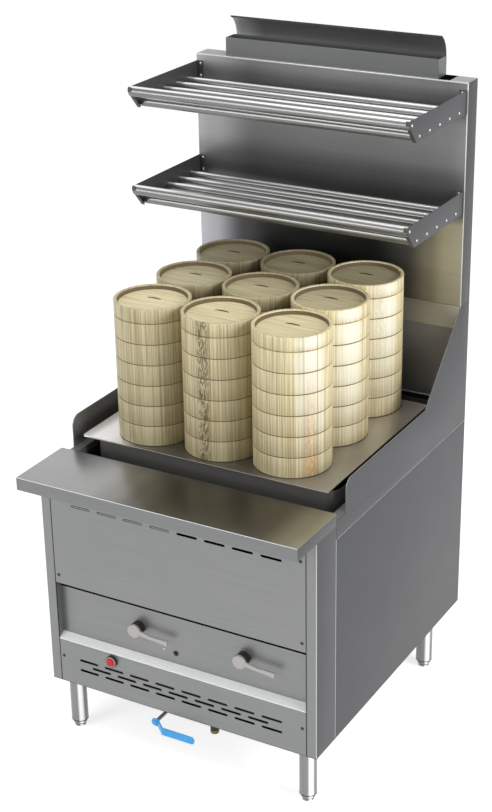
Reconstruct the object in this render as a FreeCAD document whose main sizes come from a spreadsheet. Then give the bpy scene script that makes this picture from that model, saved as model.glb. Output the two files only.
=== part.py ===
import FreeCAD, Part
import os
import re
import Sketcher

# Dumpling steamer: a gas cabinet with a water tank, nine stacks of round steamer baskets,
# a work shelf in front and a splash back that carries the flue and two tube shelves.
# Millimetres. X to the right, Y to the back, Z up.
# The origin lies on the floor, under the middle of the outline seen from above.

doc = FreeCAD.newDocument("DumplingSteamer")
sheet = doc.addObject("Spreadsheet::Sheet", "Sizes")

# Driving sizes
SIZES = {
    "body_width": 762,
    "shelf_overhang": 92,
    "leg_height": 154,
    "steel": 1.5,
    "lower_rise": 126,
    "ledge_rise": 11,
    "control_rise": 151,
    "upper_rise": 306,
    "seam_drop": 48,
    "shelf_rise": 19,
    "shelf_flange": 33.5,
    "post_face": 27,
    "post_side": 98,
    "post_return": 24,
    "panel_return": 15,
    "recess_depth": 20,
    "ledge_lap": 15,
    "guard_setback": 49,
    "guard_rise": 82,
    "guard_slope": 207,
    "guard_corner": 27,
    "guard_land": 3.5,
    "hem_width": 12,
    "riser_depth": 56.5,
    "riser_rise": 572.5,
    "riser_gap": 21.5,
    "chute_margin": 2,
    "chute_depth": 44.5,
    "chute_rise": 46.5,
    "chute_foot": 276,
    "chute_clearance": 2,
    "deflector_rise": 54,
    "deflector_reach": 30,
    "deflector_inset": 8,
    "splash_set": 21.5,
    "splash_lift": 38,
    "splash_knee": 53,
    "splash_land": 5,
    "deck_ledge": 24,
    "deck_lip": 20,
    "deck_tuck": 18,
    "well_front": 130,
    "well_back": 76,
    "tank_gap": 22,
    "tank_offset": 12,
    "tank_front": 157,
    "tank_back": 101,
    "tank_rise": 35,
    "tank_height": 223,
    "tank_corner": 35,
    "plate_lap": 15,
    "plate_offset": 2,
    "plate_front": 148,
    "plate_back": 134,
    "plate_margin": 15,
    "plate_thickness": 4,
    "plate_corner": 8,
    "basket_radius": 94,
    "basket_wall": 8,
    "basket_depth": 45,
    "tier_height": 53.33,
    "stack_gap_x": 3,
    "stack_gap_y": 6.5,
    "stack_shift": 8,
    "splash_gap": 28,
    "lid_height": 35,
    "lid_rim": 9,
    "lid_recess": 14,
    "bracket_height": 59,
    "bracket_reach": 322.5,
    "bracket_foot": 283.5,
    "bracket_inset_left": 0.5,
    "bracket_inset_right": 3.5,
    "bracket_tab": 20,
    "shelf_start": 244,
    "shelf_step": 251,
    "rod_radius": 12.7,
    "rod_pitch": 57.3,
    "rod_back": 44,
    "rod_lift": 13,
    "front_rod_step": 42.8,
    "front_rod_drop": 12,
    "leg_radius": 22,
    "leg_inset": 44.5,
    "front_leg": 42,
    "rear_leg": 121,
    "foot_rise": 20,
    "foot_radius": 18,
    "foot_stem": 40,
    "stem_circle": 8,
    "stem_clearance": 4,
    "fire_margin": 81,
    "firebox_front": 250,
    "firebox_back": 146,
    "duct_width": 300,
    "duct_rise": 110,
    "duct_foot": 10,
    "left_valve": 122,
    "right_valve": 176,
    "valve_height": 76,
    "valve_width": 36,
    "valve_depth": 34,
    "valve_rise": 30,
    "stem_radius": 7,
    "panel_clearance": 1,
    "hub_radius": 18.5,
    "hub_depth": 8,
    "lever_length": 96,
    "lever_width": 12,
    "lever_thickness": 5,
    "lever_drop": 17,
    "boss_radius": 17,
    "boss_gap": 1,
    "pipe_radius": 13.5,
    "manifold_back": 75,
    "gas_inset": 51,
    "burner_height": 176,
    "burner_radius": 85,
    "burner_cap": 25,
    "mixer_width": 30,
    "mixer_rise": 24,
    "mixer_front": 36,
    "mixer_clearance": 5,
    "lamp_left": 17,
    "lamp_height": 28,
    "lamp_radius": 7,
    "lamp_body": 5,
    "lamp_depth": 20,
    "fit_clearance": 0.3,
    "slot_length": 52,
    "slot_height": 5,
    "slot_pitch": 75.3,
    "slot_level": 79,
    "vent_level": 47,
    "vent_step": 14.5,
    "vent_shift": 3,
    "button_left": 195,
    "button_lift": 27,
    "button_radius": 11,
    "button_proud": 11,
    "button_depth": 12,
    "bezel_wall": 3,
    "bezel_rim": 1.5,
    "bezel_depth": 8,
    "drain_left": 70,
    "drain_back": 200,
    "drain_drop": 36,
    "drain_body": 40,
    "drain_outlet": 20,
    "rod_thin": 5,
    "drain_hub": 11,
    "drain_offset": 26,
    "drain_length": 129,
    "drain_bend": 28,
    "drain_plate": 3,
    "drain_blade": 21,
    "inlet_right": 76,
    "inlet_back": 40,
    "inlet_radius": 11,
    "inlet_drop": 44,
    "inlet_pipe": 8,
    "inlet_rise": 486,
}

# Sizes that follow from the driving ones: the body is as deep as three rows of baskets need
FOLLOWING = {
    "body_depth": "plate_front + plate_margin + 6 * basket_radius + 2 * stack_gap_y"
    " + splash_gap + splash_set + riser_depth",
    "stack_middle": "plate_front + plate_margin + 3 * basket_radius + stack_gap_y",
    "tank_depth": "body_depth - tank_front - tank_back",
    "tank_width": "body_width - 2 * deck_ledge - 2 * tank_gap",
    "plate_depth": "body_depth - plate_front - plate_back",
    "plate_width": "tank_width + 2 * plate_lap",
    "firebox_depth": "body_depth - firebox_front - firebox_back",
    "firebox_width": "body_width - 2 * fire_margin",
    "chute_width": "firebox_width - 2 * chute_margin",
    "gas_inlet": "body_width / 2 - gas_inset",
    "deflector_radius": "(deflector_rise ^ 2 + deflector_reach ^ 2) / (2 * deflector_reach)",
}

for row, (size_name, size_value) in enumerate(SIZES.items(), start=1):
    sheet.set("A%d" % row, size_name.replace("_", " "))
    sheet.set("B%d" % row, str(size_value))
    sheet.setAlias("B%d" % row, size_name)
doc.recompute()
for row, (size_name, formula) in enumerate(FOLLOWING.items(), start=len(SIZES) + 1):
    sheet.set("A%d" % row, size_name.replace("_", " "))
    sheet.set("B%d" % row, "=" + formula)
    sheet.setAlias("B%d" % row, size_name)
    doc.recompute()

TIERS = 6
COLUMNS = 3
RODS = 5
SLOTS = 8

# Places that follow from the sizes
half = "body_width / 2"
front = "(shelf_overhang - body_depth) / 2"
back = "(shelf_overhang + body_depth) / 2"
shelf_front = front + " - shelf_overhang"
pan_top = "leg_height + steel"
ledge_low = "leg_height + lower_rise"
control_low = ledge_low + " + ledge_rise"
upper_low = control_low + " + control_rise"
deck = upper_low + " + upper_rise"
seam = deck + " - seam_drop"
shelf_top = deck + " + shelf_rise"
shelf_low = shelf_top + " - shelf_flange"
guard_top = deck + " + guard_rise"
riser_foot = guard_top + " + guard_slope"
riser_top = riser_foot + " + riser_rise"
riser_front = back + " - riser_depth"
chute_front = back + " - steel - chute_depth"
chute_low = "leg_height + chute_foot"
chute_top = riser_top + " + chute_rise"
guard_front = front + " + post_side + guard_setback"
slope_end = riser_front + " + guard_land"
slope_start = slope_end + " - guard_slope"
splash_front = riser_front + " - splash_set"
tank_top = deck + " + tank_rise"
tank_low = tank_top + " - tank_height"
plate_top = tank_top + " + plate_thickness"
stack_top = plate_top + " + %d * tier_height" % TIERS
valve_level = control_low + " + valve_height"
burner_low = "leg_height + burner_height"
lamp_level = control_low + " + lamp_height"
button_level = "leg_height + vent_level + 2 * vent_step + button_lift"
drain_level = "leg_height - drain_drop"
inner = half + " - steel"
panel_edge = half + " - post_face"
control_face = front + " + recess_depth"

TURNS = {
    "x": FreeCAD.Rotation(FreeCAD.Vector(0, 1, 0), 90),
    "y": FreeCAD.Rotation(FreeCAD.Vector(1, 0, 0), -90),
    "z": FreeCAD.Rotation(),
}
AXES = "xyz"
PARTS = {}


def linked(formula):
    """Return the formula with every size name pointing at its cell."""

    def cell(match):
        word = match.group(0)
        return "Sizes." + word if word in SIZES or word in FOLLOWING else word

    return re.sub(r"[a-z]+(?:_[a-z]+)*", cell, str(formula))


def bind(thing, prop, formula):
    """Tie one property to a formula."""
    thing.setExpression(prop, linked(formula))


def place(thing, where):
    """Tie the position of an object to three formulas."""
    for axis, formula in zip(AXES, where):
        bind(thing, "Placement.Base." + axis, formula)


def minus(formula):
    """Return the formula with the opposite sign."""
    return "-(%s)" % formula


def box(name, x_span, y_span, z_span):
    """Make a block between a low and a high formula along each axis."""
    block = doc.addObject("Part::Box", name)
    spans = (x_span, y_span, z_span)
    for prop, span in zip(("Length", "Width", "Height"), spans):
        bind(block, prop, "(%s) - (%s)" % (span[1], span[0]))
    place(block, [span[0] for span in spans])
    return block


def cylinder(name, axis, start, radius, length):
    """Make a round bar that starts at a point and runs along an axis."""
    bar = doc.addObject("Part::Cylinder", name)
    bar.Placement.Rotation = TURNS[axis]
    bind(bar, "Radius", radius)
    bind(bar, "Height", length)
    place(bar, start)
    return bar


def prism(name, axis, sides, start, circle, length):
    """Make a bar with a regular outline."""
    bar = doc.addObject("Part::Prism", name)
    bar.Polygon = sides
    bar.Placement.Rotation = TURNS[axis]
    bind(bar, "Circumradius", circle)
    bind(bar, "Height", length)
    place(bar, start)
    return bar


def fuse(name, *pieces):
    """Join pieces that overlap or touch."""
    joined = doc.addObject("Part::MultiFuse", name)
    joined.Shapes = list(pieces)
    joined.Refine = True
    return joined


def group(name, *pieces):
    """Hold separate solids of one kind together."""
    held = doc.addObject("Part::Compound", name)
    held.Links = list(pieces)
    return held


def cut(name, base, *tools):
    """Take one or more tools away from a base."""
    result = doc.addObject("Part::Cut", name)
    result.Base = base
    result.Tool = tools[0] if len(tools) == 1 else group(name + "_tools", *tools)
    result.Refine = True
    return result


def keep(label, thing):
    """Register a finished sub-part under its label."""
    thing.Label = label
    PARTS[label] = thing
    return thing


def new_body(name):
    """Start a body."""
    return doc.addObject("PartDesign::Body", name)


def origin_plane(body, role):
    """Return one of the body's own origin planes."""
    for feature in body.Origin.OriginFeatures:
        if feature.Role == role:
            return feature
    raise RuntimeError("no plane " + role)


def outline(body, name, plane, offset, corners):
    """Draw a closed outline on a plane of the body, every corner tied to two formulas."""
    drawing = body.newObject("Sketcher::SketchObject", name)
    drawing.AttachmentSupport = (origin_plane(body, plane + "_Plane"), [""])
    drawing.MapMode = "FlatFace"
    bind(drawing, "AttachmentOffset.Base.z", offset)
    count = len(corners)
    turn = FreeCAD.Rotation(FreeCAD.Vector(0, 0, 1), 360.0 / count)
    points = [FreeCAD.Vector(100, 0, 0)]
    while len(points) < count:
        points.append(turn.multVec(points[-1]))
    for index, point in enumerate(points):
        following = points[(index + 1) % count]
        drawing.addGeometry(Part.LineSegment(point, following), False)
    for index in range(count):
        joint = Sketcher.Constraint("Coincident", index, 2, (index + 1) % count, 1)
        drawing.addConstraint(joint)
    for index, (across, up) in enumerate(corners):
        for kind, start, formula in (
            ("DistanceX", points[index].x, across),
            ("DistanceY", points[index].y, up),
        ):
            number = drawing.addConstraint(
                Sketcher.Constraint(kind, -1, 1, index, 1, start)
            )
            bind(drawing, "Constraints[%d]" % number, formula)
    return drawing


def pad(body, name, plane, corners, start, end):
    """Add a slab with the given outline between two positions on the plane's normal."""
    offset = minus(end) if plane == "XZ" else start
    drawing = outline(body, name + "_outline", plane, offset, corners)
    slab = body.newObject("PartDesign::Pad", name)
    slab.Profile = drawing
    bind(slab, "Length", "(%s) - (%s)" % (end, start))
    return slab


def edges_near(feature, points):
    """Return the names of the straight edges whose middle lies at each of the points."""
    names = []
    for point in points:
        best = min(
            range(len(feature.Shape.Edges)),
            key=lambda i: (middle(feature.Shape.Edges[i]) - point).Length,
        )
        names.append("Edge%d" % (best + 1))
    return names


def middle(edge):
    """Return the point halfway along an edge."""
    return edge.valueAt((edge.FirstParameter + edge.LastParameter) / 2)


def round_edges(body, feature, name, radius, points):
    """Round the edges found at the given points."""
    doc.recompute()
    rounded = body.newObject("PartDesign::Fillet", name)
    rounded.Base = (feature, edges_near(feature, points))
    bind(rounded, "Radius", radius)
    return rounded


def corners_of(shape, axis):
    """Return the middles of the four outer edges of a block that run along an axis."""
    limits = shape.BoundBox
    spans = [(limits.XMin, limits.XMax), (limits.YMin, limits.YMax), (limits.ZMin, limits.ZMax)]
    along = AXES.index(axis)
    halfway = sum(spans[along]) / 2
    first, second = [spans[i] for i in range(3) if i != along]
    points = []
    for low in first:
        for high in second:
            place_at = [low, high]
            place_at.insert(along, halfway)
            points.append(FreeCAD.Vector(*place_at))
    return points


def rounded_block(name, x_span, y_span, z_span, radius):
    """Make a block whose four upright edges are rounded."""
    body = new_body(name)
    corners = [
        (x_span[0], y_span[0]),
        (x_span[1], y_span[0]),
        (x_span[1], y_span[1]),
        (x_span[0], y_span[1]),
    ]
    slab = pad(body, name + "_slab", "XY", corners, z_span[0], z_span[1])
    doc.recompute()
    round_edges(body, slab, name + "_corners", radius, corners_of(slab.Shape, "z"))
    return body


def slot_row(body, name, count, level, shift):
    """Cut a row of slots through the front sheet of a panel."""
    run = "(%d * slot_pitch + slot_length) / 2" % (count - 1)
    left = "-%s - (%s)" % (run, shift)
    right = left + " + slot_length"
    low = level + " - slot_height / 2"
    high = level + " + slot_height / 2"
    corners = [(left, low), (right, low), (right, high), (left, high)]
    drawing = outline(body, name + "_outline", "XZ", minus(front), corners)
    slot = body.newObject("PartDesign::Pocket", name)
    slot.Profile = drawing
    slot.Reversed = False
    bind(slot, "Length", "2 * steel")
    doc.recompute()
    row = body.newObject("PartDesign::LinearPattern", name + "_row")
    row.Originals = [slot]
    row.Direction = (drawing, ["H_Axis"])
    row.Occurrences = count
    bind(row, "Length", "%d * slot_pitch" % (count - 1))
    body.Tip = row
    doc.recompute()
    return row


# Base pan and the folded uprights of the cabinet
drain_hole = cylinder(
    "drain_hole", "z", ("-drain_left", front + " + drain_back", "leg_height - steel"),
    "pipe_radius + panel_clearance", "3 * steel",
)
inlet_hole = cylinder(
    "inlet_hole", "z", ("inlet_right", front + " + inlet_back", "leg_height - steel"),
    "inlet_pipe + panel_clearance", "3 * steel",
)
pan_sheet = box("pan_sheet", (minus(half), half), (front, back), ("leg_height", pan_top))
keep("base_pan", cut("base_pan", pan_sheet, drain_hole, inlet_hole))


def sided(side, formula):
    """Return the formula for the right side, or its mirror for the left side."""
    return formula if side == "right" else minus(formula)


def side_span(side, low, high):
    """Return the span between two distances from the middle, on one side."""
    return (low, high) if side == "right" else (minus(high), minus(low))


for side in ("left", "right"):
    stile = [
        (half + " - post_face + steel", front + " + steel"),
        (half + " - post_face + steel", front + " + post_return"),
        (half + " - post_face", front + " + post_return"),
        (half + " - post_face", front),
    ]
    post_corners = [
        (half, front),
        (half, front + " + post_side"),
        (half + " - panel_return", front + " + post_side"),
        (half + " - panel_return", front + " + post_side - steel"),
        (inner, front + " + post_side - steel"),
        (inner, front + " + steel"),
    ] + stile
    post = new_body(side + "_corner_post")
    pad(
        post, side + "_post_fold", "XY",
        [(sided(side, x), y) for x, y in post_corners], pan_top, seam,
    )
    pad(
        post, side + "_stile_top", "XY",
        [(sided(side, x), y) for x, y in [(half, front), (half, front + " + steel")] + stile],
        seam, shelf_low,
    )
    keep(side + "_corner_post", post)

    panel_corners = [
        (half, front + " + post_side"),
        (half, back),
        (inner, back),
        (inner, back + " - steel"),
        (half + " - panel_return", back + " - steel"),
        (half + " - panel_return", back + " - 2 * steel"),
        (inner, back + " - 2 * steel"),
        (inner, front + " + post_side + steel"),
        (half + " - panel_return", front + " + post_side + steel"),
        (half + " - panel_return", front + " + post_side"),
    ]
    panel = new_body(side + "_side_panel")
    pad(
        panel, side + "_panel_fold", "XY",
        [(sided(side, x), y) for x, y in panel_corners], pan_top, seam,
    )
    keep(side + "_side_panel", panel)

    # Splash guard: one sheet that is the body side above the seam and then rises in a
    # stepped, sloped wing beside the baskets, with a folded hem along its upper edge
    wing = [
        (front + " + steel", seam),
        (back, seam),
        (back, riser_foot),
        (slope_end, riser_foot),
        (slope_start, guard_top),
        (guard_front, guard_top),
        (guard_front, deck),
        (front + " + post_side", deck),
        (front + " + post_side", shelf_low),
        (front + " + steel", shelf_low),
    ]
    guard = new_body(side + "_splash_guard")
    x_span = side_span(side, inner, half)
    sheet_pad = pad(guard, side + "_wing", "YZ", wing, x_span[0], x_span[1])
    doc.recompute()
    limits = sheet_pad.Shape.BoundBox
    wing_front = min(
        vertex.Y for vertex in sheet_pad.Shape.Vertexes
        if vertex.Z > limits.ZMin + SIZES["seam_drop"] + SIZES["guard_rise"] / 2
    )
    wing_top = min(
        vertex.Z for vertex in sheet_pad.Shape.Vertexes
        if vertex.Z > limits.ZMin + SIZES["seam_drop"] + SIZES["guard_rise"] / 2
    )
    nose = FreeCAD.Vector(limits.Center.x, wing_front, wing_top)
    round_edges(guard, sheet_pad, side + "_wing_corner", "guard_corner", [nose])
    doc.recompute()
    hem_start = guard_front + " + guard_corner"
    hem_end = splash_front + " - hem_width"
    hem_rise = guard_top + " + (" + hem_end + ") - (" + slope_start + ")"
    hem = [
        (hem_start, guard_top),
        (hem_start, guard_top + " - hem_width"),
        (slope_start + " + hem_width * 0.414", guard_top + " - hem_width"),
        (hem_end, hem_rise + " - hem_width * 1.414"),
        (hem_end, hem_rise),
        (slope_start, guard_top),
    ]
    hem_span = side_span(side, inner + " - steel", inner)
    pad(guard, side + "_hem", "YZ", hem, hem_span[0], hem_span[1])
    keep(side + "_splash_guard", guard)

# Rear panel, from the base pan up behind the riser
gas_hole = cylinder(
    "gas_hole", "y", ("gas_inlet", back + " - 2 * steel", valve_level),
    "pipe_radius + panel_clearance", "3 * steel",
)
rear_sheet = box(
    "rear_sheet", (minus(inner), inner), (back + " - steel", back), (pan_top, riser_top + " - steel")
)
keep("rear_panel", cut("rear_panel", rear_sheet, gas_hole))

# Front panels: each is a folded sheet drawn from the side
upper_panel = new_body("upper_front_panel")
upper_fold = [
    (front, upper_low),
    (control_face + " + steel", upper_low),
    (control_face + " + steel", upper_low + " + steel"),
    (front + " + steel", upper_low + " + steel"),
    (front + " + steel", deck + " - steel"),
    (front + " + panel_return", deck + " - steel"),
    (front + " + panel_return", deck),
    (front, deck),
]
pad(upper_panel, "upper_fold", "YZ", upper_fold, minus(panel_edge), panel_edge)
slot_row(upper_panel, "upper_slot", SLOTS, deck + " - slot_level", "0 * steel")
keep("upper_front_panel", upper_panel)

lower_panel = new_body("lower_front_sheet")
lower_fold = [
    (front, pan_top),
    (front + " + panel_return", pan_top),
    (front + " + panel_return", pan_top + " + steel"),
    (front + " + steel", pan_top + " + steel"),
    (front + " + steel", ledge_low + " - 2 * steel"),
    (front + " + panel_return", ledge_low + " - 2 * steel"),
    (front + " + panel_return", ledge_low + " - steel"),
    (front, ledge_low + " - steel"),
]
pad(lower_panel, "lower_fold", "YZ", lower_fold, minus(panel_edge), panel_edge)
for number in range(3):
    level = "leg_height + vent_level + %d * vent_step" % number
    slot_row(lower_panel, "vent_%d" % number, SLOTS - number % 2, level, "vent_shift")
button_hole = cylinder(
    "button_hole", "y", ("-button_left", front + " - steel", button_level),
    "button_radius + bezel_wall + fit_clearance", "3 * steel",
)
keep("lower_front_panel", cut("lower_front_panel", lower_panel, button_hole))

control_sheet = box(
    "control_sheet", (minus(panel_edge), panel_edge),
    (control_face, control_face + " + steel"), (control_low, upper_low),
)
control_holes = [
    cylinder(
        name, "y", (x, control_face + " - steel", level), radius, "4 * steel",
    )
    for name, x, level, radius in (
        ("left_stem_hole", "-left_valve", valve_level, "stem_radius + panel_clearance"),
        ("right_stem_hole", "right_valve", valve_level, "stem_radius + panel_clearance"),
        ("lamp_hole", "-lamp_left", lamp_level, "lamp_body + fit_clearance"),
    )
]
keep("control_panel", cut("control_panel", control_sheet, *control_holes))

ledge = new_body("control_ledge")
ledge_fold = [
    (front, ledge_low),
    (front, ledge_low + " - steel"),
    (control_face, control_low + " - steel"),
    (control_face + " + 2 * steel", control_low + " - steel"),
    (control_face + " + 2 * steel", control_low + " + ledge_lap"),
    (control_face + " + steel", control_low + " + ledge_lap"),
    (control_face + " + steel", control_low),
    (control_face, control_low),
]
pad(ledge, "ledge_fold", "YZ", ledge_fold, minus(panel_edge), panel_edge)
keep("control_ledge", ledge)

# Work shelf: a tray turned upside down, open under its back edge where the deck enters
shelf_block = box(
    "shelf_block", (minus(half), half), (shelf_front, front + " + post_side"), (shelf_low, shelf_top)
)
shelf_hollow = box(
    "shelf_hollow", (minus(inner), inner),
    (shelf_front + " + steel", front + " + post_side - steel"),
    (shelf_low + " - steel", shelf_top + " - steel"),
)
shelf_entry = box(
    "shelf_entry", (minus(inner), inner),
    (front + " + post_side - 2 * steel", front + " + post_side + steel"),
    (shelf_low + " - steel", deck),
)
keep("work_shelf", cut("work_shelf", shelf_block, shelf_hollow, shelf_entry))

# Deck frame with a turned-down lip round the tank opening
well_edge = half + " - deck_ledge"
well_y = (front + " + well_front", back + " - well_back")
deck_sheet = box(
    "deck_sheet", (minus(inner), inner),
    (front + " + post_side - deck_tuck", back + " - steel"), (deck + " - steel", deck),
)
deck_rim = box(
    "deck_rim", (minus(well_edge) + " - steel", well_edge + " + steel"),
    (well_y[0] + " - steel", well_y[1] + " + steel"), (deck + " - deck_lip", deck + " - steel"),
)
deck_well = box(
    "deck_well", (minus(well_edge), well_edge), well_y, (deck + " - 2 * deck_lip", deck + " + steel")
)
chute_edge = "chute_width / 2"
deck_notch = box(
    "deck_notch", (minus(chute_edge) + " - chute_clearance", chute_edge + " + chute_clearance"),
    (chute_front + " - chute_clearance", back), (deck + " - 2 * steel", deck + " + steel"),
)
keep("deck_frame", cut("deck_frame", fuse("deck_blank", deck_sheet, deck_rim), deck_well, deck_notch))

# Riser, flue chute and the curved deflector that leans over it
riser_block = box("riser_block", (minus(half), half), (riser_front, back), (riser_foot, riser_top))
riser_hollow = box(
    "riser_hollow", (minus(inner), inner), (riser_front + " + steel", back + " + steel"),
    (riser_foot + " - steel", riser_top + " - steel"),
)
riser_mouth = box(
    "riser_mouth", (minus(chute_edge), chute_edge + " + riser_gap"),
    (chute_front, back + " - steel"), (riser_top + " - 2 * steel", riser_top + " + steel"),
)
keep("riser", cut("riser", riser_block, riser_hollow, riser_mouth))

duct_edge = "duct_width / 2"
duct_low = chute_low + " + duct_foot"
chute_block = box(
    "chute_block", (minus(chute_edge), chute_edge), (chute_front, back + " - steel"),
    (chute_low, chute_top),
)
chute_hollow = box(
    "chute_hollow", (minus(chute_edge) + " + steel", chute_edge + " - steel"),
    (chute_front + " + steel", back + " - 2 * steel"),
    (chute_low + " + steel", chute_top + " + steel"),
)
chute_window = box(
    "chute_window", (minus(duct_edge) + " + steel", duct_edge + " - steel"),
    (chute_front + " - steel", chute_front + " + 2 * steel"),
    (duct_low + " + steel", duct_low + " + duct_rise - steel"),
)
keep("flue_chute", cut("flue_chute", chute_block, chute_hollow, chute_window))

deflector = new_body("flue_deflector")
curl_edge = chute_edge + " - deflector_inset"
strip = [
    (minus(curl_edge), "deflector_radius - steel"),
    (curl_edge, "deflector_radius - steel"),
    (curl_edge, "deflector_radius"),
    (minus(curl_edge), "deflector_radius"),
]
strip_outline = outline(deflector, "deflector_outline", "XY", "0 * steel", strip)
curl = deflector.newObject("PartDesign::Revolution", "deflector_curl")
curl.Profile = strip_outline
curl.ReferenceAxis = (strip_outline, ["H_Axis"])
bind(curl, "Angle", "asin(deflector_rise / deflector_radius)")
doc.recompute()
if curl.Shape.BoundBox.ZMax < SIZES["deflector_rise"] / 2:
    curl.Reversed = True
    doc.recompute()
place(deflector, ("0 * steel", back + " - steel - deflector_radius", chute_top))
keep("flue_deflector", deflector)

# Rear splash: a plane behind the baskets and a ledge that slopes back under the riser
splash = new_body("rear_splash")
splash_fold = [
    (splash_front, deck + " + splash_lift"),
    (splash_front + " + steel", deck + " + splash_lift"),
    (splash_front + " + steel", riser_foot + " - splash_knee"),
    (riser_front + " + 2 * steel", riser_foot + " - splash_land"),
    (riser_front + " + 2 * steel", riser_foot + " + panel_return"),
    (riser_front + " + steel", riser_foot + " + panel_return"),
    (riser_front + " + steel", riser_foot),
    (riser_front, riser_foot),
    (riser_front, riser_foot + " - splash_land"),
    (splash_front, riser_foot + " - splash_knee"),
]
pad(splash, "splash_fold", "YZ", splash_fold, minus(inner), inner)
keep("rear_splash", splash)

# Water tank and the plate that lies on it
tank_y = (front + " + tank_front", front + " + tank_front + tank_depth")
tank_x = ("tank_offset - tank_width / 2", "tank_offset + tank_width / 2")
tank_outer = rounded_block("tank_outer", tank_x, tank_y, (tank_low, tank_top), "tank_corner")
tank_inner = rounded_block(
    "tank_inner", (tank_x[0] + " + steel", tank_x[1] + " - steel"),
    (tank_y[0] + " + steel", tank_y[1] + " - steel"),
    (tank_low + " + steel", tank_top + " + steel"), "tank_corner - steel",
)
keep("water_tank", cut("water_tank", tank_outer, tank_inner))

plate = rounded_block(
    "steaming_plate", ("-plate_width / 2 - plate_offset", "plate_width / 2 - plate_offset"),
    (front + " + plate_front", front + " + plate_front + plate_depth"),
    (tank_top, plate_top), "plate_corner",
)
keep("steaming_plate", plate)

# Firebox round the burners, with a short duct to the flue chute
fire_edge = "firebox_width / 2"
fire_y = (front + " + firebox_front", front + " + firebox_front + firebox_depth")
fire_outer = box("fire_outer", (minus(fire_edge), fire_edge), fire_y, (pan_top, tank_low))
fire_inner = box(
    "fire_inner", (minus(fire_edge) + " + steel", fire_edge + " - steel"),
    (fire_y[0] + " + steel", fire_y[1] + " - steel"), (pan_top + " - steel", tank_low + " + steel"),
)
duct_outer = box(
    "duct_outer", (minus(duct_edge), duct_edge), (fire_y[1] + " - steel", chute_front),
    (duct_low, duct_low + " + duct_rise"),
)
duct_inner = box(
    "duct_inner", (minus(duct_edge) + " + steel", duct_edge + " - steel"),
    (fire_y[1] + " - 2 * steel", chute_front + " + steel"),
    (duct_low + " + steel", duct_low + " + duct_rise - steel"),
)
mixer_ports = [
    box(
        side + "_mixer_port",
        (x + " - mixer_width / 2 - mixer_clearance", x + " + mixer_width / 2 + mixer_clearance"),
        (fire_y[0] + " - steel", fire_y[0] + " + 2 * steel"),
        (burner_low + " - mixer_rise - mixer_clearance", burner_low + " + mixer_clearance"),
    )
    for side, x in (("left", "-left_valve"), ("right", "right_valve"))
]
fire_walls = fuse("fire_walls", fire_outer, duct_outer)
keep("firebox", cut("firebox", fire_walls, fire_inner, duct_inner, *mixer_ports))

# Burners, each with its mixing tube, a drop from its valve and a stand on the base pan
burner_y = front + " + firebox_front + firebox_depth / 2"
burners = []
for side, x in (("left", "-left_valve"), ("right", "right_valve")):
    mixer_x = (x + " - mixer_width / 2", x + " + mixer_width / 2")
    cap = prism(
        side + "_burner_cap", "z", 16, (x, burner_y, burner_low), "burner_radius", "burner_cap"
    )
    mixer = box(
        side + "_mixer", mixer_x, (front + " + mixer_front", burner_y + " + mixer_width / 2"),
        (burner_low + " - mixer_rise", burner_low),
    )
    drop = box(
        side + "_gas_drop", (x + " - stem_radius", x + " + stem_radius"),
        (front + " + mixer_front", front + " + mixer_front + 2 * stem_radius"),
        (burner_low, valve_level + " - valve_rise / 2"),
    )
    stand = box(
        side + "_burner_stand", mixer_x,
        (burner_y + " - mixer_width / 2", burner_y + " + mixer_width / 2"),
        (pan_top, burner_low + " - mixer_rise"),
    )
    burners.append(fuse(side + "_burner", cap, mixer, drop, stand))
keep("burners", group("burners", *burners))

# Gas pipework
manifold_y = front + " + manifold_back"
manifold_run = cylinder(
    "manifold_run", "x", ("-left_valve - valve_width", manifold_y, valve_level),
    "pipe_radius", "left_valve + valve_width + gas_inlet",
)
manifold_tail = cylinder(
    "manifold_tail", "y", ("gas_inlet", manifold_y, valve_level),
    "pipe_radius", back + " - (" + manifold_y + ")",
)
valve_back = control_face + " + 4 + valve_depth"
saddles = [
    box(
        side + "_saddle", (x + " - pipe_radius / 2", x + " + pipe_radius / 2"),
        (valve_back, manifold_y), (valve_level + " - stem_radius", valve_level + " + stem_radius"),
    )
    for side, x in (("left", "-left_valve"), ("right", "right_valve"))
]
keep("gas_manifold", fuse("gas_manifold", manifold_run, manifold_tail, *saddles))

for side, x in (("left", "-left_valve"), ("right", "right_valve")):
    chamber = box(
        side + "_valve_chamber", (x + " - valve_width / 2", x + " + valve_width / 2"),
        (control_face + " + 4", valve_back),
        (valve_level + " - valve_rise / 2", valve_level + " + valve_rise / 2"),
    )
    stem = cylinder(
        side + "_valve_stem", "y", (x, front, valve_level), "stem_radius", "recess_depth + 6"
    )
    boss = cylinder(
        side + "_valve_boss", "y", (x, front + " + boss_gap", valve_level), "boss_radius",
        "recess_depth - boss_gap",
    )
    keep(side + "_gas_valve", fuse(side + "_gas_valve", chamber, stem, boss))

    # Quarter-turn handle: a round hub and an arm that widens to its tip
    arm = new_body(side + "_handle_arm")
    blade = [
        ("0 * steel", "-lever_width / 2"),
        ("lever_length * 0.5", "-lever_width * 0.95"),
        ("lever_length * 0.85", "-lever_drop * 0.85"),
        ("lever_length * 0.96", "-lever_drop"),
        ("lever_length", "-lever_drop * 0.8"),
        ("lever_length", "-lever_width * 0.35"),
        ("lever_length * 0.96", "-lever_width * 0.2"),
        ("lever_length * 0.5", "-lever_width * 0.15"),
        ("0 * steel", "lever_width / 2"),
    ]
    pad(arm, side + "_arm_blade", "XZ", blade, "-1 - lever_thickness", "-1")
    hub = cylinder(
        side + "_handle_hub", "y", ("0 * steel", "-hub_depth", "0 * steel"),
        "hub_radius", "hub_depth",
    )
    handle = fuse(side + "_valve_handle", hub, arm)
    place(handle, (x, front, valve_level))
    keep(side + "_valve_handle", handle)

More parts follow.
